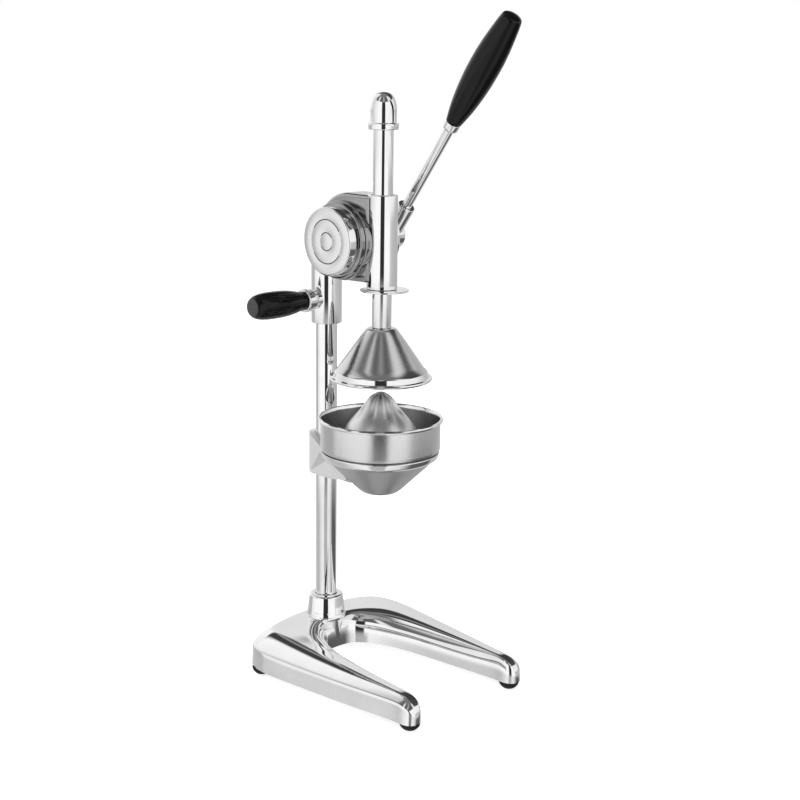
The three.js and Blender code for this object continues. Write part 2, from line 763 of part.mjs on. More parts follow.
// Involute tooth outline, one tooth pointing along -Y
function pinionOutline() {
  const baseRadius = pitchRadius * Math.cos(pressureAngle);
  const involute = (radius) => {
    const alpha = Math.acos(Math.min(1, baseRadius / radius));
    return Math.tan(alpha) - alpha;
  };
  const halfTooth = (toothPitch / 2 - toothBacklash) / 2 / pitchRadius;
  const halfAngle = (radius) => halfTooth + involute(pitchRadius) - involute(Math.max(radius, baseRadius));
  const rootRadius = pitchRadius - dedendum;
  const tipRadius = pitchRadius + addendum;
  const radii = [rootRadius, baseRadius + 0.4, pitchRadius, tipRadius];
  const outline = [];
  for (let tooth = 0; tooth < toothCount; tooth += 1) {
    const middle = -quarter + tooth * full / toothCount;
    for (const radius of radii) {
      const angle = middle - halfAngle(radius);
      outline.push([radius * Math.cos(angle), radius * Math.sin(angle)]);
    }
    for (const radius of [...radii].reverse()) {
      const angle = middle + halfAngle(radius);
      outline.push([radius * Math.cos(angle), radius * Math.sin(angle)]);
    }
  }
  return outline;
}

const atPinion = (solid) => solid.translate([0, pinionAxisOffset, pinionAxisHeight]);
const keyTop = shaftRadius + keyHeight / 2;

// A side-view outline round the pinion axis becomes a plate across X
function makePinion() {
  const outline = pinionOutline().map(([x, y]) => [y, x]);
  const wheel = sidePlate(outline, pinionWidth);
  const bore = alongX(bar(shaftRadius + seatGap, -pinionWidth, pinionWidth, midFacets));
  const keyway = block(pinionWidth * 2, keyWidth + seatGap * 2, keyTop + seatGap, 0, 0, (keyTop + seatGap) / 2);
  return atPinion(without(wheel, [bore, keyway]));
}

function makePinionKey() {
  const root = shaftRadius - keyHeight / 2 + seatGap;
  return atPinion(block(pinionWidth, keyWidth, keyTop - root, 0, 0, (keyTop + root) / 2));
}

const shaftStart = springCoverEnd - springCoverWall - seatGap;
const hubPinPlace = (hubStart + leverPlane - leverSocketRadius) / 2 + hubEdge;

function makeShaft() {
  const edge = 1;
  const end = hubEnd - seatGap * 2;
  const body = alongX(turned([
    [0, -shaftStart], [shaftRadius - edge, -shaftStart], [shaftRadius, edge - shaftStart],
    [shaftRadius, end - edge], [shaftRadius - edge, end], [0, end],
  ], midFacets));
  const keyway = block(pinionWidth + seatGap * 2, keyWidth + seatGap * 2, overrun * 2,
    0, 0, shaftRadius - keyHeight / 2 + overrun);
  const pinRoom = hubPinRoom().rotate([leverLean * 180 / Math.PI, 0, 0]);
  return atPinion(without(body, [keyway, pinRoom]));
}

// The cross pin goes in from below, through hub and shaft
function hubPinRoom() {
  return bar(hubPinRadius + seatGap, -hubRadius - overrun, hubRadius, smallFacets).translate([hubPinPlace, 0, 0]);
}

function shaftBush(start, end) {
  const tube = bar(shaftRadius + bushWall, start, end, midFacets)
    .subtract(bar(shaftRadius + seatGap, start - overrun, end + overrun, midFacets));
  return atPinion(alongX(tube));
}

const leftWallOuter = housingHalfWidth + 3;
const gearRoomLeft = leftWallOuter - leftWallThickness;

// Head casting: press sleeve, gear housing, column sleeve, spring cup, handle boss
function makeHead() {
  const edge = 1.5;
  const frontSleeve = turned([
    [0, sleeveBottom], [sleeveFootRadius - edge / 3, sleeveBottom], [sleeveFootRadius, sleeveBottom + edge / 3],
    [sleeveTopRadius, sleeveTop - edge], [sleeveTopRadius - edge / 2, sleeveTop], [0, sleeveTop],
  ], roundFacets);
  const rearSleeve = turned([
    [0, rearSleeveBottom], [rearSleeveRadius - edge / 2, rearSleeveBottom],
    [rearSleeveRadius, rearSleeveBottom + edge / 2], [rearSleeveRadius, rearSleeveTop - edge * 2],
    [rearSleeveRadius - edge * 2, rearSleeveTop], [0, rearSleeveTop],
  ], roundFacets).translate([0, columnOffset, 0]);
  const handleBoss = crossBar(handleBossRadius, -handleBossEnd, 0, columnOffset, handleHeight, smallFacets);
  const springCup = atPinion(alongX(turned([
    [0, -drumEnd], [drumRadius - edge, -drumEnd], [drumRadius, edge - drumEnd], [drumRadius, -drumRootEnd],
    [drumRootRadius, -drumRootEnd], [drumRootRadius, -housingHalfWidth + edge], [0, -housingHalfWidth + edge],
  ])));
  const whole = joined([housingSolid(), frontSleeve, rearSleeve, handleBoss, springCup]);
  return without(whole, headCutters());
}

// Rounded housing plate, narrower at its first and last slice
function housingSolid() {
  const outline = [
    [0, housingFloor], [pinionAxisOffset, housingFloor - 1],
    ...arc(pinionAxisOffset, housingCentreHeight, housingRadius, -quarter * 0.92, quarter, 14),
    [0, housingTop],
  ];
  const middle = [housingRadius / 2, housingCentreHeight];
  const ring = (x, shrink) => outline.map(([y, z]) => {
    const scale = 1 - shrink / housingRadius;
    return [x, middle[0] + (y - middle[0]) * scale, middle[1] + (z - middle[1]) * scale];
  });
  return skinned([
    ring(-housingHalfWidth, housingEdge), ring(housingEdge - housingHalfWidth, 0),
    ring(housingHalfWidth - housingEdge, 0), ring(housingHalfWidth, housingEdge),
  ]);
}

function headCutters() {
  const rodRoom = bar(rodRadius + rodBushWall + seatGap * 2, sleeveBottom - overrun, sleeveTop + overrun, roundFacets);
  const columnRoom = bar(columnRadius + seatGap, rearSleeveBottom - overrun, columnTop + seatGap, roundFacets)
    .translate([0, columnOffset, 0]);
  const gearRoom = crossBar(pitchRadius + addendum + gearClearance, -gearRoomLeft,
    housingHalfWidth + overrun, pinionAxisOffset, pinionAxisHeight, roundFacets);
  const springRoom = crossBar(drumBoreRadius, -drumEnd - overrun, -leftWallOuter,
    pinionAxisOffset, pinionAxisHeight, roundFacets);
  const bushRoom = crossBar(shaftRadius + bushWall + seatGap, -leftWallOuter - overrun, 0,
    pinionAxisOffset, pinionAxisHeight);
  const stud = crossBar(handleStudRadius + seatGap, -handleBossEnd - overrun, -columnRadius - seatGap * 4,
    columnOffset, handleHeight, smallFacets);
  const setScrew = alongY(bar(setScrewRadius + seatGap, 0, rearSleeveRadius * 2, smallFacets));
  const setScrews = headScrewHeights().map((height) => setScrew.translate([0, columnOffset, height]));
  const tapped = coverScrewPlaces().map(([y, z]) =>
    crossBar(coverScrewRadius + seatGap, housingHalfWidth - coverScrewLength, housingHalfWidth + overrun, y, z,
      smallFacets));
  const springPin = crossBar(springPinRadius + seatGap, -leftWallOuter - overrun, overrun - leftWallOuter,
    ...springPinPlace(), smallFacets);
  return [rodRoom, columnRoom, gearRoom, springRoom, bushRoom, stud, springPin, ...setScrews, ...tapped];
}

const headScrewHeights = () => [rearSleeveBottom + rearSleeveRadius, handleHeight + rearSleeveRadius];

function makeHeadScrew(height) {
  const start = columnOffset + columnRadius + seatGap * 2;
  return alongY(bar(setScrewRadius, start, columnOffset + rearSleeveRadius, smallFacets)).translate([0, 0, height]);
}

// Gear cover closes the right side of the housing and carries the second bush
const coverScrewTurnShares = [0.2, 0.6, -0.6, -0.2];
const coverScrewPlaces = () => coverScrewTurnShares.map((share) => [
  pinionAxisOffset + coverScrewCircle * Math.cos(share * Math.PI),
  housingCentreHeight + coverScrewCircle * Math.sin(share * Math.PI),
]);

function makeGearCover() {
  const start = housingHalfWidth + seatGap;
  const end = start + gearCoverThickness;
  const plate = crossBar(gearCoverRadius, start, end, pinionAxisOffset, housingCentreHeight, roundFacets);
  const boss = crossBar(gearCoverBossRadius, start, gearCoverBossEnd, pinionAxisOffset, pinionAxisHeight);
  const bore = crossBar(shaftRadius + bushWall + seatGap, start - overrun, gearCoverBossEnd + overrun,
    pinionAxisOffset, pinionAxisHeight);
  const holes = coverScrewPlaces().map(([y, z]) =>
    crossBar(coverScrewRadius + seatGap, start - overrun, end + overrun, y, z, smallFacets));
  return without(plate.add(boss), [bore, ...holes]);
}

function makeCoverScrew([y, z]) {
  const seat = housingHalfWidth + gearCoverThickness + seatGap * 2;
  return joined([
    crossBar(coverScrewRadius, housingHalfWidth + seatGap - coverScrewLength, seat + seatGap, y, z, smallFacets),
    crossBar(coverScrewHeadRadius, seat, seat + coverScrewHeadHeight, y, z, smallFacets),
  ]);
}

// Spring cover: a shallow cap with two turned grooves in its face
function makeSpringCover() {
  const start = drumEnd + seatGap;
  const spigot = drumBoreRadius - seatGap;
  const face = -springCoverEnd;
  const inner = -springCoverEnd + springCoverWall;
  const profile = [
    [0, face], ...orderedGrooves(face), [springCoverRadius - springCoverEdge, face],
    [springCoverRadius - springCoverEdge * 0.3, face + springCoverEdge * 0.3],
    [springCoverRadius, face + springCoverEdge], [springCoverRadius, -start],
    [spigot, -start], [spigot, -start + 3], [spigot - springCoverWall, -start + 3],
    [spigot - springCoverWall, inner], [0, inner],
  ];
  return atPinion(alongX(turned(profile)));
}

function orderedGrooves(face) {
  return [...grooveRadii].sort((a, b) => a - b).flatMap((radius) => [
    [radius - grooveWidth / 2, face], [radius - grooveWidth / 2, face + grooveDepth],
    [radius + grooveWidth / 2, face + grooveDepth], [radius + grooveWidth / 2, face],
  ]);
}

// Return spring: a flat strip wound in a spiral, from the shaft to the pin
const springInner = shaftRadius + seatGap;
const springOuter = drumBoreRadius - springCoverWall - springPinRadius * 2 - seatGap * 4;

function makeSpring() {
  const steps = springTurns * 16;
  const side = (offset) => Array.from({ length: steps + 1 }, (_, i) => {
    const angle = i / steps * springTurns * full;
    const radius = springInner + (springOuter - springStrip - springInner) * i / steps + offset;
    return [radius * Math.cos(angle), radius * Math.sin(angle)];
  });
  const outline = [...side(0), ...side(springStrip).reverse()];
  const start = -leftWallOuter - seatGap - springWidth;
  return atPinion(sidePlate(outline, springWidth, start + springWidth / 2));
}

const springPinPlace = () => [
  pinionAxisOffset + springOuter + springPinRadius + seatGap, pinionAxisHeight,
];

function makeSpringPin() {
  return crossBar(springPinRadius, -leftWallOuter - springWidth, overrun - leftWallOuter - seatGap,
    ...springPinPlace(), smallFacets);
}

// Rod bushes line both ends of the press sleeve; the lower one holds the guard disc
function rodBush(bottom, top) {
  return bar(rodRadius + rodBushWall + seatGap, bottom, top, roundFacets)
    .subtract(bar(rodRadius + seatGap, bottom - overrun, top + overrun, roundFacets));
}

const guardTop = sleeveBottom - seatGap;
const guardBottom = guardTop - guardThickness;

function makeLowerBush() {
  const lipTop = guardBottom - seatGap;
  const lip = bar(bushLip, lipTop - lipThickness, lipTop, roundFacets)
    .subtract(bar(rodRadius + seatGap, lipTop - overrun, lipTop + overrun, roundFacets));
  return rodBush(lipTop - lipThickness, sleeveBottom + rodBushLength).add(lip);
}

function makeGuardDisc() {
  const hole = bar(rodRadius + rodBushWall + seatGap * 2, guardBottom - overrun, guardTop + overrun, roundFacets);
  const edge = guardThickness / 3;
  return turned([
    [0, guardBottom], [guardRadius - edge, guardBottom], [guardRadius, guardBottom + edge],
    [guardRadius, guardTop - edge], [guardRadius - edge, guardTop], [0, guardTop],
  ]).translate([0, -guardShift, 0]).subtract(hole);
}

// Rod cap: a stepped flange under a rounded dome
function makeCap() {
  const flangeTop = capFlangeBottom + capFlangeHeight;
  const edge = 0.8;
  const domeRise = capRadius * 1.35;
  const dome = [1, 0.8, 0.6, 0.4, 0.2].map((share) => {
    const turn = (1 - share) * quarter;
    return [capRadius * Math.cos(turn), capTop - domeRise + domeRise * Math.sin(turn)];
  });
  const profile = [
    [0, capFlangeBottom], [capFlangeRadius - edge, capFlangeBottom], [capFlangeRadius, capFlangeBottom + edge],
    [capFlangeRadius, flangeTop - edge], [capFlangeRadius - edge, flangeTop], [capRadius, flangeTop],
    ...dome, [0, capTop],
  ];
  const room = bar(rodRadius + seatGap, capFlangeBottom - overrun, capTop - capWall, midFacets);
  return turned(profile, midFacets).subtract(room);
}

// Lever pieces are drawn upright on the pivot and leaned as one group
const lever = new THREE.Group();
lever.position.set(0, pinionAxisOffset, pinionAxisHeight);
lever.rotation.x = leverLean;

function makeHub() {
  const body = alongX(turned([
    [0, hubStart], [hubRadius - hubEdge / 2, hubStart], [hubRadius, hubStart + hubEdge / 2],
    [hubRadius, hubEnd - hubEdge], [hubRadius - hubEdge * 0.3, hubEnd - hubEdge * 0.3],
    [hubRadius - hubEdge, hubEnd], [0, hubEnd],
  ]));
  const socket = bar(leverSocketRadius, 0, leverSocketEnd, midFacets).translate([leverPlane, 0, 0]);
  const shaftRoom = alongX(bar(shaftRadius + seatGap, hubStart - overrun, hubEnd + overrun, midFacets));
  const rodRoom = bar(leverRodRadius + seatGap, leverFootDistance - seatGap * 2, leverSocketEnd + overrun, midFacets)
    .translate([leverPlane, 0, 0]);
  const leverPinRoom = alongX(bar(hubPinRadius + seatGap, leverPlane - leverSocketRadius - overrun,
    leverPlane + leverSocketRadius + overrun, smallFacets)).translate([0, 0, leverPinDistance]);
  return without(body.add(socket), [shaftRoom, rodRoom, hubPinRoom(), leverPinRoom]);
}

function makeHubPin() {
  return bar(hubPinRadius, seatGap - hubRadius, hubRadius - seatGap, smallFacets).translate([hubPinPlace, 0, 0]);
}

function makeLeverPin() {
  const reach = leverSocketRadius - seatGap;
  return alongX(bar(hubPinRadius, leverPlane - reach, leverPlane + reach, smallFacets))
    .translate([0, 0, leverPinDistance]);
}

const gripStart = ferruleStart + ferruleLength + seatGap;

function makeLeverRod() {
  const edge = 0.6;
  const top = gripStart + leverTangLength;
  const body = turned([
    [0, leverFootDistance], [leverRodRadius - edge, leverFootDistance], [leverRodRadius, leverFootDistance + edge],
    [leverRodRadius, top - edge], [leverRodRadius - edge, top], [0, top],
  ], midFacets).translate([leverPlane, 0, 0]);
  const pinRoom = alongX(bar(hubPinRadius + seatGap, 0, leverPlane * 2, smallFacets))
    .translate([0, 0, leverPinDistance]);
  return body.subtract(pinRoom);
}

function ferrule(radius, length, bore) {
  const edge = 1.2;
  return turned([
    [bore, 0], [radius - edge, 0], [radius, edge], [radius, length - edge / 2], [radius - edge / 2, length],
    [bore, length],
  ], midFacets);
}

// A hand grip: radii along its length, a blind bore from its root
function grip(levels, length, boreRadius, boreDepth) {
  const outside = turned([[0, 0], ...levels.map(([radius, share]) => [radius, share * length]), [0, length]], midFacets);
  return outside.subtract(bar(boreRadius + seatGap, -overrun, boreDepth + seatGap, smallFacets));
}

function makeLeverGrip() {
  const belly = gripMaxRadius;
  return grip([
    [gripRootRadius, 0], [belly * 0.733, 0.147], [belly * 0.915, 0.324], [belly * 0.993, 0.44], [belly, 0.52],
    [belly * 0.974, 0.62], [belly * 0.902, 0.734], [belly * 0.765, 0.852], [gripTipRadius, 0.95],
    [gripTipRadius * 0.82, 0.983], [gripTipRadius * 0.45, 1],
  ], gripLength, leverRodRadius, leverTangLength).translate([leverPlane, 0, gripStart]);
}

// Side handle pieces are drawn upright and laid along -X
const handleStart = handleBossEnd + seatGap;
const handleGripStart = handleStart + handleFerruleLength + seatGap;
const atHandle = (solid) => solid.rotate([0, -90, 0]).translate([0, columnOffset, handleHeight]);

function makeHandleGrip() {
  const belly = handleMaxRadius;
  return atHandle(grip([
    [handleNeckRadius, 0], [handleNeckRadius, 0.06], [belly * 0.86, 0.25], [belly * 0.97, 0.47],
    [belly, 0.66], [belly * 0.96, 0.82], [belly * 0.86, 0.92], [belly * 0.74, 0.975], [handleEndRadius, 1],
  ], handleGripLength, handleStudRadius, handleStudReach - handleGripStart).translate([0, 0, handleGripStart]));
}

function makeHandleStud() {
  return atHandle(bar(handleStudRadius, columnRadius + seatGap * 6, handleStudReach, smallFacets));
}

// Assembly
place('base', makeBase(), chrome);
for (const [name, x, y] of footPlaces) place(name, makeFoot(), rubber).position.set(x, y, 0);
place('column', makeColumn(), chrome);
place('column_washer', makeColumnWasher(), machinedSteel).position.set(0, columnOffset, 0);
place('column_bolt', makeColumnBolt(), machinedSteel).position.set(0, columnOffset, 0);
press.getObjectByName('column').position.set(0, columnOffset, 0);
place('bowl_bracket', makeBracket(), castSatin);
place('bracket_screw', makeBracketScrew(), machinedSteel);
place('funnel', makeFunnel(), satinSteel);
[['left', -funnelScrewSpread], ['right', funnelScrewSpread]].forEach(([side, sideways]) =>
  place(`funnel_screw_${side}`, makeFunnelScrew(sideways), machinedSteel));
place('strainer_cup', makeCup(), satinSteel);
place('reamer', makeReamer(), satinSteel);
place('bell', makeBell(), satinSteel);
place('bell_washer', makeBellWasher(), machinedSteel);
place('bell_nut', makeBellNut(), machinedSteel);
place('press_rod', makeRod(), chrome);
place('rod_cap', makeCap(), chrome);
place('head_casting', makeHead(), chrome);
headScrewHeights().forEach((height, i) =>
  place(`head_screw_${['lower', 'upper'][i]}`, makeHeadScrew(height), machinedSteel));
place('upper_rod_bush', rodBush(sleeveTop - rodBushLength, sleeveTop), bronze);
place('lower_rod_bush', makeLowerBush(), bronze);
place('guard_disc', makeGuardDisc(), chrome);
place('pinion', makePinion(), machinedSteel);
place('pinion_key', makePinionKey(), machinedSteel);
place('pinion_shaft', makeShaft(), machinedSteel);
place('left_shaft_bush', shaftBush(-leftWallOuter, -gearRoomLeft), bronze);
place('right_shaft_bush', shaftBush(housingHalfWidth, gearCoverBossEnd), bronze);
place('gear_cover', makeGearCover(), chrome);
coverScrewPlaces().forEach((spot, i) => place(`cover_screw_${i + 1}`, makeCoverScrew(spot), machinedSteel));
place('return_spring', makeSpring(), springSteel);
place('spring_pin', makeSpringPin(), machinedSteel);
place('spring_cover', makeSpringCover(), satinSteel);
press.add(lever);
place('lever_hub', makeHub(), chrome, lever);
place('hub_pin', makeHubPin(), machinedSteel, lever);
place('lever_pin', makeLeverPin(), machinedSteel, lever);
place('lever_rod', makeLeverRod(), chrome, lever);
place('lever_ferrule', ferrule(ferruleRadius, ferruleLength, leverRodRadius + seatGap), chrome, lever)
  .position.set(leverPlane, 0, ferruleStart);
place('lever_grip', makeLeverGrip(), blackPlastic, lever);
place('handle_stud', makeHandleStud(), machinedSteel);
place('handle_ferrule', atHandle(ferrule(handleFerruleRadius, handleFerruleLength, handleStudRadius + seatGap)
  .translate([0, 0, handleStart])), chrome);
place('handle_grip', makeHandleGrip(), blackPlastic);

// The origin is the middle of the whole press's footprint, on the surface it stands on
press.updateMatrixWorld(true);
const extent = new THREE.Box3().setFromObject(press, true);
const middle = extent.getCenter(new THREE.Vector3());
const group = new THREE.Group();
press.position.set(-middle.x, -middle.y, -extent.min.z);
group.add(press);

export default group;
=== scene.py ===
import bpy, bmesh, json, math
from mathutils import Matrix, Vector


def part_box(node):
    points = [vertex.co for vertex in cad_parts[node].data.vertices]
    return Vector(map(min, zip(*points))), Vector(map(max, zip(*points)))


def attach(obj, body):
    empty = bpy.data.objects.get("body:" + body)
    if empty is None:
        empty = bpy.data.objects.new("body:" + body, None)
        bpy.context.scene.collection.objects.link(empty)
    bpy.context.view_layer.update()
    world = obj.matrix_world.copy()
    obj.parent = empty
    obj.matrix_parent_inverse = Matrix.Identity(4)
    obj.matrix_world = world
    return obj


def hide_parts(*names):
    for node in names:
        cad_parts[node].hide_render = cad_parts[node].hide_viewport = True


# Lever citrus juice press: the fine surfaces and finishes of its pieces
# Distances in the dictionaries are millimetres unless a note says otherwise, angles are degrees

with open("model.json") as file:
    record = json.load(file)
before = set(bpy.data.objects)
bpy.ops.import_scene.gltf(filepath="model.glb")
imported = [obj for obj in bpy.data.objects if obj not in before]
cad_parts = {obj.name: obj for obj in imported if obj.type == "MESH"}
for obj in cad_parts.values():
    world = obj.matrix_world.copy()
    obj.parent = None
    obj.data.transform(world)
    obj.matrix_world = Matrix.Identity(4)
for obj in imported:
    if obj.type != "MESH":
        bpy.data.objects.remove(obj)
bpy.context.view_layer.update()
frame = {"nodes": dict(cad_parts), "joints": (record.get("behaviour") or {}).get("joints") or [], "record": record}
mm = 0.001
scene = bpy.context.scene
print("frame loaded:", len(frame["nodes"]), "nodes")

# Camera: where it stands, and how it turns, dips and rolls
cameraView = {"place": (-1008.71, -1052.39, 641.85), "turn": -44.29, "dip": 13.34, "roll": 0.76,
              "lens": 66.896, "sensor": 36}


def addCamera(view):
    turn, dip, roll = (math.radians(view[k]) for k in ("turn", "dip", "roll"))
    back = Vector((math.sin(turn) * math.cos(dip), -math.cos(turn) * math.cos(dip), math.sin(dip)))
    right = Vector((math.cos(turn), math.sin(turn), 0))
    up = back.cross(right)
    side = right * math.cos(roll) + up * math.sin(roll)
    top = up * math.cos(roll) - right * math.sin(roll)
    data = bpy.data.cameras.new("photoCamera")
    data.lens, data.sensor_width = view["lens"], view["sensor"]
    camera = bpy.data.objects.new("photoCamera", data)
    scene.collection.objects.link(camera)
    spin = Matrix((side, top, back)).transposed().to_4x4()
    camera.matrix_world = Matrix.Translation(Vector(view["place"]) * mm) @ spin
    scene.camera = camera


addCamera(cameraView)
print("camera placed")

# Finishes: grain is how fine the mottling is, bump how strong its relief, spread how far its tones differ
finishes = {
    "polishedChrome": {"slot": "chrome", "color": 0.88, "spread": 0.03, "metal": 1, "rough": (0.035, 0.06),
                       "grain": 60, "bump": 0},
    "castChrome": {"slot": "chrome", "color": 0.88, "spread": 0.03, "metal": 1, "rough": (0.035, 0.07),
                   "grain": 34, "bump": 0.012},
    # Painted shade: a darker copy of the chrome for the gear housing and spring drum of the head casting
    "housingChrome": {"slot": "chrome", "color": 0.38, "spread": 0.03, "metal": 1, "rough": (0.09, 0.14),
                      "grain": 34, "bump": 0.012},
    "satinSteel": {"slot": "satin_steel", "color": 0.72, "spread": 0.07, "metal": 1, "rough": (0.17, 0.22),
                   "grain": 1500, "bump": 0.13},
    "funnelSteel": {"slot": "satin_steel", "color": 0.50, "spread": 0.06, "metal": 1, "rough": (0.28, 0.33),
                    "grain": 1500, "bump": 0.13},
    "spunSteel": {"slot": "satin_steel", "color": 0.86, "spread": 0.05, "metal": 1, "rough": (0.30, 0.36),
                  "grain": 1500, "bump": 0.12},
    # Painted shade: a darker copy of the satin steel for the inside of the strainer cup
    "bowlInside": {"slot": "satin_steel", "color": 0.34, "spread": 0.03, "metal": 1, "rough": (0.28, 0.34),
                   "grain": 1500, "bump": 0.08},
    "turnedSteel": {"slot": "satin_steel", "color": 0.86, "spread": 0.03, "metal": 1, "rough": (0.16, 0.22),
                    "grain": 900, "bump": 0.02},
    "castSilver": {"slot": "cast_metal", "color": 0.63, "spread": 0.03, "metal": 0.1, "rough": (0.28, 0.36),
                   "grain": 1200, "bump": 0.12},
    "blackGrip": {"slot": "black_plastic", "color": 0.005, "spread": 0.002, "shine": 0.24, "metal": 0,
                  "rough": (0.11, 0.16), "grain": 1500, "bump": 0.02},
    "gripEnd": {"slot": "black_plastic", "color": 0.05, "spread": 0.01, "shine": 0.4, "metal": 0,
                "rough": (0.3, 0.4), "grain": 1500, "bump": 0.03},
    "blackRubber": {"slot": "rubber", "color": 0.010, "spread": 0.004, "shine": 0.3, "metal": 0,
                    "rough": (0.5, 0.65), "grain": 1300, "bump": 0.1},
    "bearingBronze": {"slot": "bronze", "color": (0.50, 0.36, 0.16), "spread": 0.03, "metal": 1,
                      "rough": (0.25, 0.35), "grain": 700, "bump": 0.03},
    "machinedSteel": {"slot": "machined_steel", "color": 0.42, "spread": 0.04, "metal": 1,
                      "rough": (0.22, 0.32), "grain": 900, "bump": 0.04},
    # Dark spring steel: the return spring's own finish, also used as painted shade in the cup's foot gap and as
    # painted dark reflection in the spring cover's grooves
    "springStrip": {"slot": "spring_steel", "color": 0.17, "spread": 0.03, "metal": 1, "rough": (0.3, 0.4),
                    "grain": 500, "bump": 0.03},
}
mottling = {"detail": 3, "low": 0.3, "high": 0.7, "fineFrom": 100, "fineDepth": 0.4, "coarseDepth": 4}


# One noise varies each finish's colour and roughness and gives its surface a slight relief
def addFinish(name, look):
    material = bpy.data.materials.new(name)
    material.use_nodes = True
    nodes, links = material.node_tree.nodes, material.node_tree.links
    shader = nodes["Principled BSDF"]
    shader.inputs["Metallic"].default_value = look["metal"]
    shader.inputs["Specular IOR Level"].default_value = look.get("shine", 0.5)
    place = nodes.new("ShaderNodeTexCoord")
    mottle = nodes.new("ShaderNodeTexNoise")
    mottle.inputs["Scale"].default_value = look["grain"]
    mottle.inputs["Detail"].default_value = mottling["detail"]
    links.new(place.outputs["Object"], mottle.inputs["Vector"])
    color = look["color"] if isinstance(look["color"], tuple) else (look["color"],) * 3
    tint = nodes.new("ShaderNodeValToRGB")
    for stop, share, spot in zip(tint.color_ramp.elements, (-1, 1), (mottling["low"], mottling["high"])):
        stop.color = tuple(max(0, c + share * look["spread"]) for c in color) + (1,)
        stop.position = spot
    links.new(mottle.outputs["Fac"], tint.inputs["Fac"])
    links.new(tint.outputs["Color"], shader.inputs["Base Color"])
    rough = nodes.new("ShaderNodeMapRange")
    rough.inputs["To Min"].default_value, rough.inputs["To Max"].default_value = look["rough"]
    links.new(mottle.outputs["Fac"], rough.inputs["Value"])
    links.new(rough.outputs["Result"], shader.inputs["Roughness"])
    if look["bump"]:
        bump = nodes.new("ShaderNodeBump")
        bump.inputs["Strength"].default_value = look["bump"]
        depth = mottling["fineDepth" if look["grain"] > mottling["fineFrom"] else "coarseDepth"]
        bump.inputs["Distance"].default_value = depth * mm
        links.new(mottle.outputs["Fac"], bump.inputs["Height"])
        links.new(bump.outputs["Normal"], shader.inputs["Normal"])
    return material


materials = {name: addFinish(name, look) for name, look in finishes.items()}
print("finishes made:", len(materials))

# Points closer than these count as one, or as lying in one plane; edges flatter than the angle are smooth
closeBy, looseBy, planeBy = 2e-6, 1e-5, 1e-6
smoothAngle = 32


def middle(node):
    low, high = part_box(node)
    return (low + high) / 2


def footOf(node):  # the axis point at the lower end of an upright piece
    return Vector((middle(node).x, middle(node).y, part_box(node)[0].z))


def selectOnly(piece):
    bpy.ops.object.select_all(action="DESELECT")
    piece.select_set(True)
    bpy.context.view_layer.objects.active = piece


def editAll():
    bpy.ops.object.mode_set(mode="EDIT")
    bpy.ops.mesh.select_all(action="SELECT")


def endEdit():
    bpy.ops.object.mode_set(mode="OBJECT")


# The primitive that was just added gets its name and opens in edit mode
def begin(name):
    piece = bpy.context.object
    piece.name = piece.data.name = name
    selectOnly(piece)
    bpy.ops.object.mode_set(mode="EDIT")
    bpy.ops.mesh.select_mode(type="VERT")
    bpy.ops.mesh.select_all(action="SELECT")
    return piece


def pick(piece, test, kind="verts"):
    bpy.ops.mesh.select_mode(type={"verts": "VERT", "edges": "EDGE", "faces": "FACE"}[kind])
    bpy.ops.mesh.select_all(action="DESELECT")
    shape = bmesh.from_edit_mesh(piece.data)
    chosen = [part for part in getattr(shape, kind) if test(part)]
    for part in chosen:
        part.select_set(True)
    bmesh.update_edit_mesh(piece.data)


def near(point, reach=closeBy):
    return lambda vert: (vert.co - point).length < reach


# A chain of points is drawn by extruding one vertex; a third value rounds that corner
def drawProfile(name, profile, closed, roundSteps=4):
    bpy.ops.mesh.primitive_plane_add(size=mm, location=(0, 0, 0))
    piece = begin(name)
    bpy.ops.mesh.merge(type="CENTER")
    points = [Vector((p[0], 0, p[1])) * mm for p in profile]
    bpy.ops.transform.translate(value=points[0])
    for last, point in zip(points, points[1:]):
        bpy.ops.mesh.extrude_region_move(TRANSFORM_OT_translate={"value": point - last})
    if closed:
        pick(piece, lambda v: near(points[0])(v) or near(points[-1])(v))
        bpy.ops.mesh.edge_face_add()
    for radius in sorted({p[2] for p in profile if len(p) > 2}):
        corners = [q for p, q in zip(profile, points) if len(p) > 2 and p[2] == radius]
        pick(piece, lambda v: any(near(q)(v) for q in corners))
        bpy.ops.mesh.bevel(offset=radius * mm, offset_type="OFFSET", segments=roundSteps, affect="VERTICES")
    return piece


def smoothFaces(angle=smoothAngle):
    bpy.ops.object.shade_smooth_by_angle(angle=math.radians(angle))


def finishMesh(angle=smoothAngle):
    bpy.ops.mesh.select_all(action="SELECT")
    bpy.ops.mesh.remove_doubles(threshold=closeBy)
    bpy.ops.mesh.delete_loose()
    bpy.ops.mesh.select_all(action="SELECT")
    bpy.ops.mesh.normals_make_consistent(inside=False)
    endEdit()
    smoothFaces(angle)


# A piece modelled upright at the origin is laid along its axis, moved to its place and applied
def settle(piece, place, along=(0, 0, 1)):
    piece.rotation_mode = "QUATERNION"
    piece.rotation_quaternion = Vector((0, 0, 1)).rotation_difference(Vector(along))
    piece.location = place
    selectOnly(piece)
    bpy.ops.object.transform_apply(location=True, rotation=True, scale=True)
    return piece


def turnPiece(name, profile, place, along=(0, 0, 1), steps=96, closed=False, angle=smoothAngle, roundSteps=4):
    piece = drawProfile(name, profile, closed, roundSteps)
    bpy.ops.mesh.select_all(action="SELECT")
    bpy.ops.mesh.spin(steps=steps, dupli=False, angle=math.tau, use_auto_merge=True,
                      center=(0, 0, 0), axis=(0, 0, 1))
    finishMesh(angle)
    return settle(piece, place, along)


def useModifier(piece, kind, **values):
    selectOnly(piece)
    modifier = piece.modifiers.new(kind.title(), kind)
    for key, value in values.items():
        setattr(modifier, key, value)
    bpy.ops.object.modifier_apply(modifier=modifier.name)


def cutWith(piece, *cutters, operation="DIFFERENCE"):
    for cutter in cutters:
        useModifier(piece, "BOOLEAN", object=cutter, operation=operation, solver="EXACT")
        bpy.data.objects.remove(cutter)


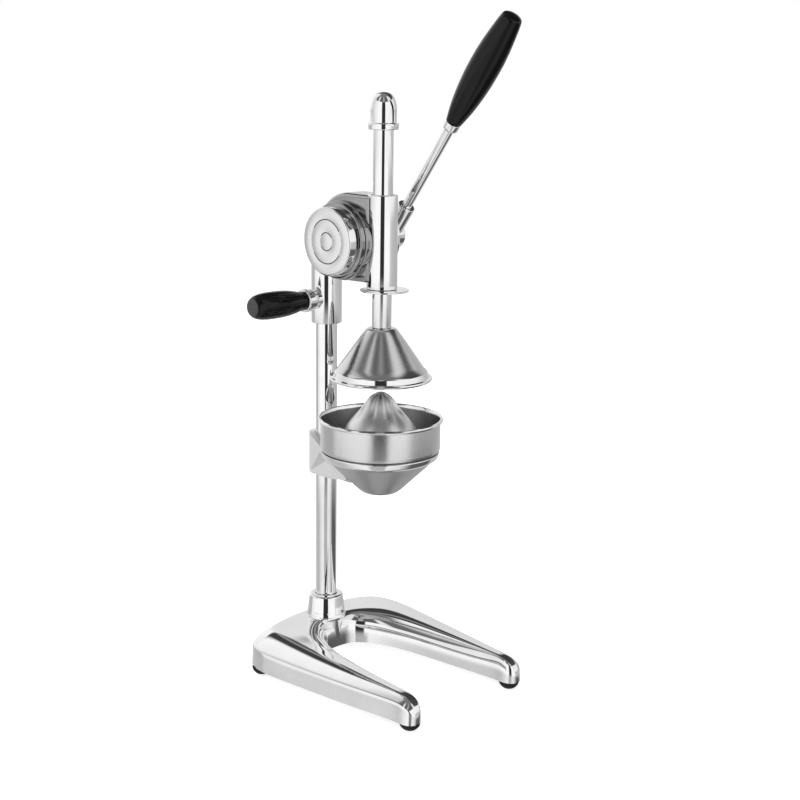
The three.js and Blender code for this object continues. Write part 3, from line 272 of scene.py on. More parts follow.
def smoother(piece, levels):
    useModifier(piece, "SUBSURF", levels=levels, render_levels=levels)
    bpy.ops.object.shade_smooth()


def joinPieces(name, pieces):
    bpy.ops.object.select_all(action="DESELECT")
    for piece in pieces:
        piece.select_set(True)
    bpy.context.view_layer.objects.active = pieces[0]
    bpy.ops.object.join()
    pieces[0].name = pieces[0].data.name = name
    return pieces[0]


def copyPiece(piece, name, shift):
    twin = piece.copy()
    twin.data = piece.data.copy()
    twin.name = twin.data.name = name
    scene.collection.objects.link(twin)
    twin.data.transform(Matrix.Translation(shift))
    return twin


def bodyOf(node):
    bodies = frame["record"]["behaviour"]["bodies"]
    return next(body for body, members in bodies.items() if node in members)


# A piece takes the place of its node: finish and body; it may come with its finishes already on it
def dress(piece, finish, node, finished=False):
    if not finished:
        piece.data.materials.clear()
        piece.data.materials.append(materials[finish])
    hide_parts(node)
    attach(piece, bodyOf(node))


# A second finish goes on the faces chosen by where they are from the middle of the piece's low box side
def polish(piece, finish, test):
    piece.data.materials.append(materials[finish])
    selectOnly(piece)
    piece.active_material_index = len(piece.data.materials) - 1
    corners = [Vector(corner) for corner in piece.bound_box]
    low = Vector(min(corner[i] for corner in corners) for i in range(3))
    high = Vector(max(corner[i] for corner in corners) for i in range(3))
    start = Vector(((low.x + high.x) / 2, (low.y + high.y) / 2, low.z))
    if high.x - low.x < high.z - low.z:
        start = Vector((low.x, start.y, (low.z + high.z) / 2))
    bpy.ops.object.mode_set(mode="EDIT")
    pick(piece, lambda face: test((face.calc_center_median() - start) / mm), "faces")
    bpy.ops.object.material_slot_assign()
    endEdit()


# Base: stations along the right half, in plan from the rod axis: outer wall, ridge, crest and inner
# wall, then the height of the top and of the crease; the nose rows give reach, width and fall
base = {
    "lift": 8, "crease": 2.5, "lean": 1, "wall": 4.5, "drop": 12, "support": 4.5, "mostShare": 0.3,
    "smoothing": 2, "smoothAngle": 50,
    "nose": {"middle": 71.7, "half": 11.1, "top": 34, "crease": 27.5, "across": (1, 0.15, -0.6, -1),
             "rows": ((132.1, 0.12, 0.02), (132.1, 0.17, 0.27), (131.3, 0.43, 0.47), (129.2, 0.71, 0.66),
                      (125, 0.93, 0.84), (118, 1, 0.95), (108, 1, 1))},
    "stations": (
        ((90.5, -60), (73.5, -60), (66, -60), (54.5, -60), 35.2, 27.8),
        ((97, -5), (74, -5), (64.5, -5), (47.5, 0), 37.2, 28),
        ((101.3, 35), (75, 35), (61.5, 33), (40, 28), 39.2, 28.2),
        ((104, 65), (75.5, 66), (54, 52), (33, 45), 41, 28.8),
        ((100.5, 86), (72, 84), (44, 62), (26, 54), 41, 29.2),
        ((88, 101), (62, 93), (33, 69), (20, 60), 41, 29.5),
        ((46, 110), (36, 101), (19, 73), (11.5, 62.5), 41, 29.5),
        ((0, 113), (0, 104), (0, 74), (0, 63), 41, 29.5),
    ),
    "shoulder": ((0.82, 0.25), (0.58, 0.55), (0.32, 0.82), (0.15, 0.94)),
    "edge": ((0.32, 0.06), (0.58, 0.25), (0.82, 0.58)),
    "socket": ((0, 0), (19.5, 0), (19.5, 30), (22, 33, 1.6), (20.4, 35.4, 3), (18, 57, 2), (11.6, 57, 0.6),
               (11.6, 14), (0, 14)),
}


def blendPoints(start, end, share):
    return tuple(a + (b - a) * share for a, b in zip(start, end))


def baseSection(outer, ridge, crest, inner, top, high, fall=1):
    foot, low = base["lift"], high - base["crease"]
    leaning = blendPoints(outer, ridge, min(base["mostShare"], base["lean"] / math.dist(outer, ridge)))
    section = [(*outer, foot)] + [(*leaning, foot + (level - foot) * fall) for level in (low, high)]
    last = section[-1][2]
    top = foot + (top - foot) * fall
    section += [(*blendPoints(ridge, leaning, spot), last + (top - last) * rise)
                for spot, rise in base["shoulder"]]
    share = min(base["mostShare"], base["support"] / math.dist(ridge, crest))
    section += [(*blendPoints(ridge, crest, spot), top) for spot in (0, share, 1 - share, 1)]
    drop = base["drop"] * fall
    section += [(*blendPoints(crest, inner, spot), top - drop * sink) for spot, sink in base["edge"]]
    return section + [(*inner, top - drop), (*inner, foot)]


def baseRows():
    nose, rows = base["nose"], []
    for reach, width, fall in nose["rows"]:
        plan = [(nose["middle"] + nose["half"] * width * share, -reach) for share in nose["across"]]
        rows.append(baseSection(*plan, nose["top"], nose["crease"], fall))
    return rows + [baseSection(*plan) for plan in base["stations"]]


# A grid is pulled point by point onto the rows, mirrored, rounded and given its wall
def makeBase():
    rows = baseRows()
    columns, lines = len(rows[0]) - 1, len(rows) - 1
    bpy.ops.mesh.primitive_grid_add(x_subdivisions=columns, y_subdivisions=lines, size=1)
    piece = begin("baseCasting")
    shape = bmesh.from_edit_mesh(piece.data)
    spots = {v.index: (round((v.co.x + 0.5) * columns), round((v.co.y + 0.5) * lines)) for v in shape.verts}
    rodAxis = Vector((middle("press_rod").x, middle("press_rod").y, 0))
    for index, (column, line) in spots.items():
        pick(piece, lambda v: v.index == index)
        points = bmesh.from_edit_mesh(piece.data).verts
        points.ensure_lookup_table()
        goal = Vector(rows[line][column]) * mm + rodAxis
        bpy.ops.transform.translate(value=goal - points[index].co)
    bpy.ops.mesh.select_all(action="SELECT")
    bpy.ops.mesh.remove_doubles(threshold=looseBy)
    endEdit()
    useModifier(piece, "MIRROR", use_clip=True, merge_threshold=looseBy)
    editAll()
    bpy.ops.mesh.normals_make_consistent(inside=False)
    endEdit()
    smoother(piece, base["smoothing"])
    editAll()
    low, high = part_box("base")
    full = [(high[i] - low[i]) / piece.dimensions[i] for i in (0, 1)]
    bpy.ops.transform.resize(value=(*full, 1), center_override=(0, low.y, 0))
    endEdit()
    useModifier(piece, "SOLIDIFY", thickness=base["wall"] * mm, offset=-1, use_even_offset=True)
    smoothFaces(base["smoothAngle"])
    socket = turnPiece("socketCollar", base["socket"], Vector((0, middle("column").y, base["lift"] * mm)))
    dress(joinPieces("baseCasting", [piece, socket]), "castChrome", "base")


makeBase()

footPad = {
    "profile": ((0, 0), (6, 0, 1.5), (10.5, 4.5, 2.5), (10.5, 7.7), (4, 7.7), (4, 14), (0, 14)), "steps": 48,
    "names": {"foot_front_left": "footPadFrontLeft", "foot_front_right": "footPadFrontRight",
              "foot_rear_left": "footPadRearLeft", "foot_rear_right": "footPadRearRight"},
}


# What repeats is turned once and copied to the places of the other nodes
def makeCopies(names, profile, finish, place, along=(0, 0, 1), steps=32):
    first = next(iter(names))
    piece = turnPiece(names[first], profile, place(first), along, steps=steps)
    for node, name in names.items():
        if node != first:
            dress(copyPiece(piece, name, place(node) - place(first)), finish, node)
    dress(piece, finish, first)


makeCopies(footPad["names"], footPad["profile"], "blackRubber", footOf, steps=footPad["steps"])
print("base and feet made")

# Column, press rod with its rack, and the rod's cap
column = {"profile": ((0, 0), (11.25, 0, 1), (11.25, 444, 1), (0, 444))}
dress(turnPiece("columnBar", column["profile"], footOf("column")), "polishedChrome", "column")

rod = {
    "profile": ((0, 0), (5, 0, 0.6), (5, 8.6), (10, 8.6, 0.5), (10, 226.3, 1), (0, 226.3)),
    "pitch": 9.582, "gaps": 13, "firstGap": 36.26, "root": 4.3, "mouth": 14, "rootHalf": 1.61,
    "mouthHalf": 5.14, "flat": 9.5, "flatDepth": 6, "cutWidth": 24,
}


def makeRod():
    foot = footOf("press_rod")
    piece = turnPiece("pressRodBar", rod["profile"], foot)
    depth, width, flatDepth = rod["mouth"] - rod["root"], rod["cutWidth"], rod["flatDepth"]
    gapPlace = foot + Vector((0, rod["root"] + depth / 2, rod["firstGap"])) * mm
    bpy.ops.mesh.primitive_cube_add(size=1, location=gapPlace)
    cutter = begin("rackGap")
    bpy.ops.transform.resize(value=(width * mm, depth * mm, rod["rootHalf"] * 2 * mm))
    pick(cutter, lambda f: f.normal.y > 0.9, "faces")  # the gap's open side, which is wider than its root
    bpy.ops.transform.resize(value=(1, 1, rod["mouthHalf"] / rod["rootHalf"]))
    endEdit()
    useModifier(cutter, "ARRAY", count=rod["gaps"], use_relative_offset=False, use_constant_offset=True,
                constant_offset_displace=(0, 0, rod["pitch"] * mm))
    length = rod["pitch"] * rod["gaps"]
    halfway = rod["firstGap"] + (length - rod["pitch"]) / 2
    flatPlace = foot + Vector((0, rod["flat"] + flatDepth / 2, halfway)) * mm
    bpy.ops.mesh.primitive_cube_add(size=1, location=flatPlace)
    flat = begin("rackFlat")
    bpy.ops.transform.resize(value=(width * mm, flatDepth * mm, length * mm))
    endEdit()
    cutWith(piece, flat, cutter)
    smoothFaces()
    dress(piece, "polishedChrome", "press_rod")


makeRod()

cap = {
    "profile": ((10.4, 0), (15, 0, 0.9), (15, 6.4, 0.9), (12.9, 6.4, 0.4), (12.9, 18.6), (12.7, 22.2),
                (11.9, 26.6), (10.2, 30.8), (7.6, 33.9), (4.1, 35.6), (0, 36), (0, 22.6), (10.4, 22.6)),
    "smoothAngle": 40,
}
capPiece = turnPiece("rodCapDome", cap["profile"], footOf("rod_cap"), closed=True, angle=cap["smoothAngle"])
dress(capPiece, "polishedChrome", "rod_cap")
print("column, rod and cap made")

# Bell, cup, reamer and funnel; where a second finish starts is given as height and radius
bell = {
    "profile": ((5.3, 52.9), (14.6, 52.9, 2.4), (19.4, 46.6), (26.1, 37.4), (33.9, 26.1), (41, 15.8),
                (44.2, 11.2), (45.8, 10), (47, 8.8, 0.6), (48.4, 3.4, 0.4), (51.4, 3.2), (52, 1.9),
                (51.4, 0.5), (50.1, 0), (48.3, 0.2, 0.4), (47.3, 3.2), (45, 7.9), (39.6, 14.2), (32.6, 25),
                (24.9, 36.3), (18.2, 45.4), (13.6, 51.5, 2.2), (5.3, 51.5)),
    "steps": 128, "smoothAngle": 26, "band": {"below": 9.2, "outside": 46.1},
}
bellPiece = turnPiece("bellShell", bell["profile"], footOf("bell"), steps=bell["steps"], closed=True,
                      angle=bell["smoothAngle"])
dress(bellPiece, "satinSteel", "bell")
polish(bellPiece, "polishedChrome",
       lambda spot: spot.z < bell["band"]["below"] and spot.xy.length > bell["band"]["outside"])

cup = {
    "profile": ((7.3, 3), (57.8, 3), (56.8, 0, 0.2), (58.1, 0, 0.2), (58.1, 3), (58.9, 3.2), (59.2, 4.4),
                (60.9, 4.8, 0.4), (61.1, 8), (61.1, 33.6), (62.3, 33.9), (63.5, 34.8), (63.8, 35.9),
                (63.2, 37.1), (61.9, 37.5), (60.9, 37.2), (60.6, 36.8), (59.8, 33.6), (59.8, 8.4),
                (58.2, 4.3, 1.2), (7.3, 4.3)),
    "steps": 128, "smoothAngle": 30, "rimFrom": 33.7, "inside": {"from": 4, "radius": 60.1},
    # paintedShadeGroove: the faces of the gap at the cup's foot, which get a painted shade
    "paintedShadeGroove": {"from": 2.9, "to": 4.7, "radius": 58.3},
    "drain": {"count": 18, "from": 47.5, "to": 56, "width": 2.6, "height": 3.5, "depth": 6,
              "roundShare": 0.48},
}


def makeCup():
    place, angle = footOf("strainer_cup"), cup["smoothAngle"]
    piece = turnPiece("strainerCupShell", cup["profile"], place, steps=cup["steps"], closed=True, angle=angle)
    drain, inside, paintedShadeGroove = cup["drain"], cup["inside"], cup["paintedShadeGroove"]
    half = (drain["to"] - drain["from"]) / 2
    slotPlace = place + Vector((drain["from"] + half, 0, drain["height"])) * mm
    bpy.ops.mesh.primitive_cube_add(size=1, location=slotPlace)
    slots = begin("drainSlots")
    bpy.ops.transform.resize(value=(half * 2 * mm, drain["width"] * mm, drain["depth"] * mm))
    pick(slots, lambda e: abs(e.verts[0].co.z - e.verts[1].co.z) > drain["depth"] / 2 * mm, "edges")
    bpy.ops.mesh.bevel(offset=drain["width"] * drain["roundShare"] * mm, segments=4)
    bpy.ops.mesh.select_all(action="SELECT")
    step = math.tau / drain["count"]
    bpy.ops.transform.rotate(value=step / 2, orient_axis="Z", center_override=place)
    bpy.ops.mesh.spin(steps=drain["count"], dupli=True, angle=math.tau, center=place, axis=(0, 0, 1))
    bpy.ops.mesh.select_all(action="SELECT")
    bpy.ops.mesh.remove_doubles(threshold=looseBy)
    endEdit()
    settle(slots, slots.location)
    cutWith(piece, slots)
    smoothFaces(angle)
    dress(piece, "satinSteel", "strainer_cup")
    polish(piece, "polishedChrome", lambda spot: spot.z > cup["rimFrom"])
    # Painted shade on the inner wall and floor of the cup
    polish(piece, "bowlInside",
           lambda spot: inside["from"] < spot.z < cup["rimFrom"] and spot.xy.length < inside["radius"])
    # Painted shade: the gap at the cup's foot gets the dark spring-steel finish in place of its shadow
    polish(piece, "springStrip",
           lambda spot: paintedShadeGroove["from"] < spot.z < paintedShadeGroove["to"] and spot.xy.length > paintedShadeGroove["radius"])


makeCup()

reamer = {
    "rings": ((45.5, 0), (45.5, 2), (44.6, 3.6), (42.2, 8.5), (39.4, 15), (35.6, 22), (31, 28.6),
              (25.6, 34.6), (20.6, 40.6), (16.4, 46.8), (12.6, 52.4), (8.8, 56), (4.4, 58.1)),
    "rimHeight": 5, "wall": 1.4, "tip": {"inset": 2, "rise": 0.8}, "smoothing": 2, "smoothAngle": 60,
    "ribs": 8, "ribSteps": 8, "valley": {"from": 37, "radius": 8, "share": 0.2, "shrink": 0.87},
    "stem": ((0, -5), (7, -5, 0.5), (7, 10), (0, 10)),
}


# The cone rises ring by ring, and the valleys between its ribs are drawn in
def makeReamer():
    low = footOf("reamer") + Vector((0, 0, reamer["rimHeight"])) * mm
    first, tip, valley = reamer["rings"][0], reamer["tip"], reamer["valley"]
    points = reamer["ribs"] * reamer["ribSteps"]
    bpy.ops.mesh.primitive_circle_add(vertices=points, radius=first[0] * mm, location=low)
    piece = begin("reamerCone")
    for last, ring in zip(reamer["rings"], reamer["rings"][1:]):
        bpy.ops.mesh.extrude_region_move(TRANSFORM_OT_translate={"value": (0, 0, (ring[1] - last[1]) * mm)})
        share = ring[0] / last[0]
        bpy.ops.transform.resize(value=(share, share, 1))
    bpy.ops.mesh.edge_face_add()
    bpy.ops.mesh.inset(thickness=tip["inset"] * mm)
    bpy.ops.transform.translate(value=(0, 0, tip["rise"] * mm))
    endEdit()
    settle(piece, low)
    bpy.ops.object.mode_set(mode="EDIT")
    turn = math.tau / reamer["ribs"]

    def inValley(vert):
        across = vert.co - low
        angle = math.atan2(across.y, across.x) % turn
        return (across.z > valley["from"] * mm and across.xy.length > valley["radius"] * mm
                and abs(angle - turn / 2) < turn * valley["share"])

    pick(piece, inValley)
    bpy.ops.transform.resize(value=(valley["shrink"], valley["shrink"], 1), center_override=low)
    finishMesh(reamer["smoothAngle"])
    smoother(piece, reamer["smoothing"])
    useModifier(piece, "SOLIDIFY", thickness=reamer["wall"] * mm, offset=-1)
    stem = turnPiece("reamerStem", reamer["stem"], low)
    dress(joinPieces("reamerCone", [piece, stem]), "spunSteel", "reamer")


makeReamer()

funnel = {
    "profile": ((9, 0), (16, 0, 1.5), (21, 2.6, 2.5), (55, 35.7, 2), (59.1, 38.6, 1), (60.4, 43.6, 0.3),
                (60.1, 44.2), (58.6, 44.2, 0.4), (58.4, 42, 1), (57.4, 40, 2), (54, 37.4, 2),
                (20.4, 4.8, 2.4), (15.4, 2, 1), (9, 2)),
    "steps": 128, "smoothAngle": 26, "rim": {"from": 37, "radius": 56.5},
}
funnelPiece = turnPiece("funnelShell", funnel["profile"], footOf("funnel"), steps=funnel["steps"],
                        closed=True, angle=funnel["smoothAngle"])
dress(funnelPiece, "funnelSteel", "funnel")
polish(funnelPiece, "polishedChrome",
       lambda spot: spot.z > funnel["rim"]["from"] and spot.xy.length > funnel["rim"]["radius"])
print("bowl pieces made")

# Bowl bracket: its side view runs back from the rod axis; bores and pockets are cut out of it
bracket = {
    "side": ((31, 3.8), (57, 0), (101.5, 0), (101.5, 43.5, 1.5), (90.4, 43.5, 3), (31, 5.8)),
    "halfWidth": 18.5, "clampReach": 100, "clampSteps": 96, "smoothAngle": 30,
    "bore": ((0, -20), (11.55, -20), (11.55, 70), (0, 70)),
    "screwHole": ((0, 0), (4.3, 0), (4.3, 40), (0, 40)), "screwHeight": 21.75, "screwSteps": 32,
    "saddle": ((0, -0.3), (14.6, -0.3), (20.4, 1.4), (55.3, 31.4), (59.6, 33.1), (61, 37.4), (61, 60),
               (0, 60)),
    "pocket": {"apex": (70, 15.2), "corners": ((88.2, 2.2), (72.6, 26.1), (42.4, 5.2)), "depth": 5.5,
               "reach": 2},
    "pad": {"halfWidth": 13, "from": 31, "to": 72, "top": 31.2},
}


# A flat outline in the side view is drawn point by point, filled and given its width
def sidePlate(name, outline, left, right):
    piece = drawProfile(name, outline, closed=True, roundSteps=3)
    bpy.ops.mesh.select_all(action="SELECT")
    bpy.ops.mesh.edge_face_add()
    bpy.ops.mesh.extrude_region_move(TRANSFORM_OT_translate={"value": (0, (right - left) * mm, 0)})
    finishMesh()
    piece.rotation_euler = (0, 0, math.pi / 2)
    piece.location = (-left * mm, 0, 0)
    bpy.ops.object.transform_apply(location=False, rotation=True, scale=True)
    return piece


# A three-sided point, pulled so that its tip is the pocket's deepest place and its sides leave the cheek
def pocketCutter(side, low):
    pocket, half = bracket["pocket"], bracket["halfWidth"]
    outer = side * (half + pocket["depth"] * (pocket["reach"] - 1))
    inner = side * (half - pocket["depth"])
    bpy.ops.mesh.primitive_cone_add(vertices=3, radius1=10 * mm, depth=10 * mm, location=(0, 0, 0))
    cutter = begin("cheekPocket")
    shape = bmesh.from_edit_mesh(cutter.data)
    shape.verts.ensure_lookup_table()
    tip = max(range(4), key=lambda i: shape.verts[i].co.z)
    goals = {tip: (inner, *pocket["apex"])}
    others = [i for i in range(4) if i != tip]
    for i, corner in zip(others, pocket["corners"]):
        goals[i] = (outer, *blendPoints(pocket["apex"], corner, pocket["reach"]))
    for i, goal in goals.items():
        pick(cutter, lambda v: v.index == i)
        shape = bmesh.from_edit_mesh(cutter.data)
        shape.verts.ensure_lookup_table()
        bpy.ops.transform.translate(value=Vector(goal) * mm + low - shape.verts[i].co)
    finishMesh()
    return cutter


def makeBracket():
    half, axis = bracket["halfWidth"], middle("column").y
    low = Vector((0, middle("press_rod").y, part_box("bowl_bracket")[0].z))
    piece = sidePlate("bowlBracketCasting", bracket["side"], -half, half)
    piece.location = low + Vector((half * mm, 0, 0))
    settle(piece, piece.location)
    pad = bracket["pad"]
    padPlace = low + Vector((0, (pad["from"] + pad["to"]) / 2, pad["top"] / 2)) * mm
    bpy.ops.mesh.primitive_cube_add(size=1, location=padPlace)
    block = begin("saddlePad")
    padSize = (pad["halfWidth"] * 2 * mm, (pad["to"] - pad["from"]) * mm, pad["top"] * mm)
    bpy.ops.transform.resize(value=padSize)
    endEdit()
    cutWith(piece, block, operation="UNION")
    reach = bracket["clampReach"] * mm
    bpy.ops.mesh.primitive_cylinder_add(vertices=bracket["clampSteps"], radius=half * mm, depth=reach * 2,
                                        location=(0, axis, low.z))
    clamp = begin("clampPlan")  # what stays of the casting ends in a half circle round the column
    pick(clamp, lambda v: v.co.y < planeBy)
    bpy.ops.transform.translate(value=(0, -reach, 0))
    endEdit()
    cutWith(piece, clamp, operation="INTERSECT")
    bore = turnPiece("columnBore", bracket["bore"], Vector((0, axis, low.z)))
    saddle = turnPiece("funnelSaddle", bracket["saddle"], Vector((low.x, low.y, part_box("funnel")[0].z)))
    screwPlace = Vector((0, axis, low.z + bracket["screwHeight"] * mm))
    screw = turnPiece("clampScrewHole", bracket["screwHole"], screwPlace, (0, 1, 0),
                      steps=bracket["screwSteps"])
    cutWith(piece, bore, saddle, screw, *(pocketCutter(side, low) for side in (-1, 1)))
    editAll()
    bpy.ops.mesh.remove_doubles(threshold=closeBy)
    bpy.ops.mesh.fill_holes(sides=0)
    bpy.ops.mesh.normals_make_consistent(inside=False)
    endEdit()
    smoothFaces(bracket["smoothAngle"])
    dress(piece, "castSilver", "bowl_bracket")


makeBracket()
print("bracket made")

# Head casting: two sleeves, the spring drum, the handle boss and the gear housing with its rooms
pivot = Vector(frame["joints"][0]["pos_m"])
head = {
    "housing": {"front": 0, "floor": 414, "dip": 413, "centre": (37.7, 456.4), "radius": 44.6, "from": -82.8,
                "steps": 64, "half": 17, "edge": 6, "roll": 7, "rollSteps": 7},
    "frontFoot": 408.3, "frontSleeve": ((11.85, 0), (15.5, 0, 0.6), (14.9, 93.1, 0.9), (11.85, 93.1, 0.3)),
    "rearFoot": 363, "rearSleeve": ((11.6, 0), (16, 0, 1), (16, 107, 4), (0, 107), (0, 103.3), (11.6, 103.3)),
    "drum": ((10.85, 15.5), (39.5, 15.5), (39.5, 21.8, 0.8), (38.9, 22.6, 0.3), (38, 22.6), (38, 28.6, 1.4),
             (31, 28.6, 0.4), (31, 20), (10.85, 20)),
    "drumSteps": 128, "handleBoss": ((0, 0), (9.5, 0), (9.5, 18.6, 0.6), (0, 18.6)),
    "screwHole": ((0, 10), (4.3, 10), (4.3, 24), (0, 24)), "screwSteps": 32,
    "rodRoom": ((0, 400), (11.85, 400), (11.85, 510), (0, 510)),
    "columnRoom": ((0, 350), (11.6, 350), (11.6, 466.3), (0, 466.3)),
    "gearRoom": ((0, -18), (34.8, -18), (34.8, 11), (10.85, 11), (10.85, 18), (0, 18)),
}


# Floor, arc and top are drawn in side view, filled, given their width and rounded at both faces
def makeHousing(rodAxis):
    plate = head["housing"]
    centre = Vector((plate["centre"][0], 0, plate["centre"][1])) * mm
    turn = math.radians(plate["from"])
    foot = centre + Vector((math.cos(turn), 0, math.sin(turn))) * plate["radius"] * mm
    bpy.ops.mesh.primitive_plane_add(size=mm, location=(0, 0, 0))
    piece = begin("gearHousing")
    bpy.ops.mesh.merge(type="CENTER")
    start = Vector((plate["front"], 0, plate["floor"])) * mm
    dip = Vector((plate["centre"][0], 0, plate["dip"])) * mm
    bpy.ops.transform.translate(value=start)
    for last, point in ((start, dip), (dip, foot)):
        bpy.ops.mesh.extrude_region_move(TRANSFORM_OT_translate={"value": point - last})
    sweep = math.radians(90 - plate["from"])
    bpy.ops.mesh.spin(steps=plate["steps"], dupli=False, angle=sweep, center=centre, axis=(0, 1, 0))
    top = centre + Vector((0, 0, plate["radius"])) * mm
    pick(piece, near(top, looseBy * 2))
    bpy.ops.mesh.extrude_region_move(TRANSFORM_OT_translate={"value": (start.x - top.x, 0, 0)})
    bpy.ops.mesh.select_all(action="SELECT")
    bpy.ops.mesh.edge_face_add()
    bpy.ops.mesh.extrude_region_move(TRANSFORM_OT_translate={"value": (0, plate["half"] * 2 * mm, 0)})
    for side, edge in ((0, plate["edge"]), (plate["half"] * 2 * mm, plate["roll"])):
        pick(piece, lambda e: all(abs(v.co.y - side) < planeBy for v in e.verts), "edges")
        bpy.ops.mesh.bevel(offset=edge * mm, segments=plate["rollSteps"])
    finishMesh()
    piece.rotation_euler = (0, 0, math.pi / 2)
    piece.location = Vector((plate["half"] * mm, rodAxis.y, 0))
    bpy.ops.object.transform_apply(location=True, rotation=True, scale=True)
    return piece


def makeHead():
    rodAxis, columnAxis = middle("press_rod"), middle("column")
    frontPlace = Vector((0, rodAxis.y, head["frontFoot"] * mm))
    rearPlace = Vector((0, columnAxis.y, head["rearFoot"] * mm))
    sleeve = turnPiece("frontSleeve", head["frontSleeve"], frontPlace, closed=True)
    rear = turnPiece("rearSleeve", head["rearSleeve"], rearPlace, closed=True)
    for node in ("head_screw_lower", "head_screw_upper"):
        place = Vector((0, columnAxis.y, middle(node).z))
        cutWith(rear, turnPiece("screwHole", head["screwHole"], place, (0, 1, 0), steps=head["screwSteps"]))
    smoothFaces()
    drum = turnPiece("springDrum", head["drum"], pivot, (-1, 0, 0), steps=head["drumSteps"], closed=True)
    bossPlace = Vector((0, columnAxis.y, middle("handle_stud").z))
    boss = turnPiece("handleBoss", head["handleBoss"], bossPlace, (-1, 0, 0))
    housing = makeHousing(rodAxis)
    rooms = (("rodRoom", Vector((0, rodAxis.y, 0)), (0, 0, 1)),
             ("columnRoom", Vector((0, columnAxis.y, 0)), (0, 0, 1)), ("gearRoom", pivot, (-1, 0, 0)))
    for room, place, along in rooms:
        cutWith(housing, turnPiece("housingRoom", head[room], place, along))
    smoothFaces()
    for part in (sleeve, rear, drum, boss, housing):
        # The housing and drum get the darker chrome as a painted shade; the sleeves and boss get the cast chrome
        part.data.materials.append(materials["housingChrome" if part in (housing, drum) else "castChrome"])
    casting = joinPieces("headCasting", [sleeve, rear, boss, drum, housing])
    dress(casting, "castChrome", "head_casting", finished=True)


makeHead()

springCover = {
    "profile": ((0, 0), (8.4, 0, 0.15), (8.6, 0.8), (9, 0.8), (9.3, 0, 0.3), (21.4, 0, 0.15), (21.6, 0.8),
                (22, 0.8), (22.3, 0, 0.3), (34.2, 0, 1.7), (34.2, 11.9, 0.4), (30.6, 11.9), (30.6, 14.9),
                (28.6, 14.9), (28.6, 2), (0, 2)),
    "steps": 128, "smoothAngle": 24, "sideFrom": 1.5,
    "grooves": {"from": 0.1, "to": 1.2, "radius": 23, "paintedDarkShare": 0.55},
}


# The turned grooves carry a painted reflection: bright at the sides and dark above and below the middle
def makeSpringCover():
    grooves = springCover["grooves"]

    def inGroove(spot):
        return grooves["from"] < spot.x < grooves["to"] and spot.yz.length < grooves["radius"]

    place = Vector((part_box("spring_cover")[0].x, pivot.y, pivot.z))
    piece = turnPiece("springCoverCap", springCover["profile"], place, (1, 0, 0), steps=springCover["steps"],
                      angle=springCover["smoothAngle"])
    dress(piece, "turnedSteel", "spring_cover")
    polish(piece, "polishedChrome", lambda spot: spot.x > springCover["sideFrom"] or inGroove(spot))
    # Painted dark reflection in the grooves above and below the middle
    polish(piece, "springStrip",
           lambda spot: inGroove(spot) and abs(spot.z) > grooves["paintedDarkShare"] * spot.yz.length)


makeSpringCover()

gearCover = {
    "plate": ((14, 0), (41.5, 0, 0.3), (41.5, 4, 1.2), (14, 4)),
    "boss": ((10.85, 0), (15, 0), (15, 15.7, 1), (10.85, 15.7, 0.4)),
    "screw": ((0, 0), (1.8, 0), (1.8, 13.3), (3.2, 13.3), (3.2, 15.3, 0.7), (1.5, 15.3), (1.5, 14.1),
              (0, 14.1)),
    "plateSteps": 128, "screwSteps": 32,
}


def leftFaceOf(node):  # the axis point at the left end of a piece that lies across
    return Vector((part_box(node)[0].x, middle(node).y, middle(node).z))


def makeGearCover():
    plate = turnPiece("gearCoverPlate", gearCover["plate"], leftFaceOf("gear_cover"), (1, 0, 0),
                      steps=gearCover["plateSteps"], closed=True)
    bossPlace = Vector((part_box("gear_cover")[0].x, pivot.y, pivot.z))
    boss = turnPiece("gearCoverBoss", gearCover["boss"], bossPlace, (1, 0, 0), closed=True)
    dress(joinPieces("gearCoverPlate", [plate, boss]), "polishedChrome", "gear_cover")
    names = {f"cover_screw_{i}": f"coverScrew{i}" for i in range(1, 5)}
    makeCopies(names, gearCover["screw"], "machinedSteel", leftFaceOf, (1, 0, 0), gearCover["screwSteps"])


makeGearCover()

setScrew = {
    "radius": 4, "edge": 0.4, "steps": 36, "socket": 2, "socketDepth": 2.4, "socketSides": 6,
    "screws": (("head_screw_lower", "headSetScrewLower", 4.15),
               ("head_screw_upper", "headSetScrewUpper", 4.15), ("bracket_screw", "bracketSetScrew", 6.4)),
}


# Headless screws with a hexagon socket in their outer end
def makeSetScrews():
    radius, edge, depth = setScrew["radius"], setScrew["edge"], setScrew["socketDepth"]
    for node, name, length in setScrew["screws"]:
        place = Vector((middle(node).x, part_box(node)[0].y, middle(node).z))
        profile = ((0, 0), (radius - edge, 0), (radius, edge), (radius, length - edge),
                   (radius - edge, length), (0, length))
        piece = turnPiece(name, profile, place, (0, 1, 0), steps=setScrew["steps"])
        bpy.ops.mesh.primitive_cylinder_add(vertices=setScrew["socketSides"], radius=setScrew["socket"] * mm,
                                            depth=depth * 2 * mm, location=(0, 0, 0))
        hexSocket = begin("hexSocket")
        endEdit()
        settle(hexSocket, place + Vector((0, length, 0)) * mm, (0, 1, 0))
        cutWith(piece, hexSocket)
        smoothFaces()
        dress(piece, "machinedSteel", node)


makeSetScrews()

guard = {
    "profile": ((0, 0), (24.5, 0, 0.5), (24.5, 1.7, 0.5), (0, 1.7)), "steps": 128,
    "hole": ((0, -2), (12.2, -2), (12.2, 4), (0, 4)),
}


def makeGuard():
    low = footOf("guard_disc")
    piece = turnPiece("guardDiscPlate", guard["profile"], low, steps=guard["steps"])
    holePlace = Vector((middle("press_rod").x, middle("press_rod").y, low.z))
    cutWith(piece, turnPiece("guardHole", guard["hole"], holePlace))
    smoothFaces()
    dress(piece, "polishedChrome", "guard_disc")


makeGuard()

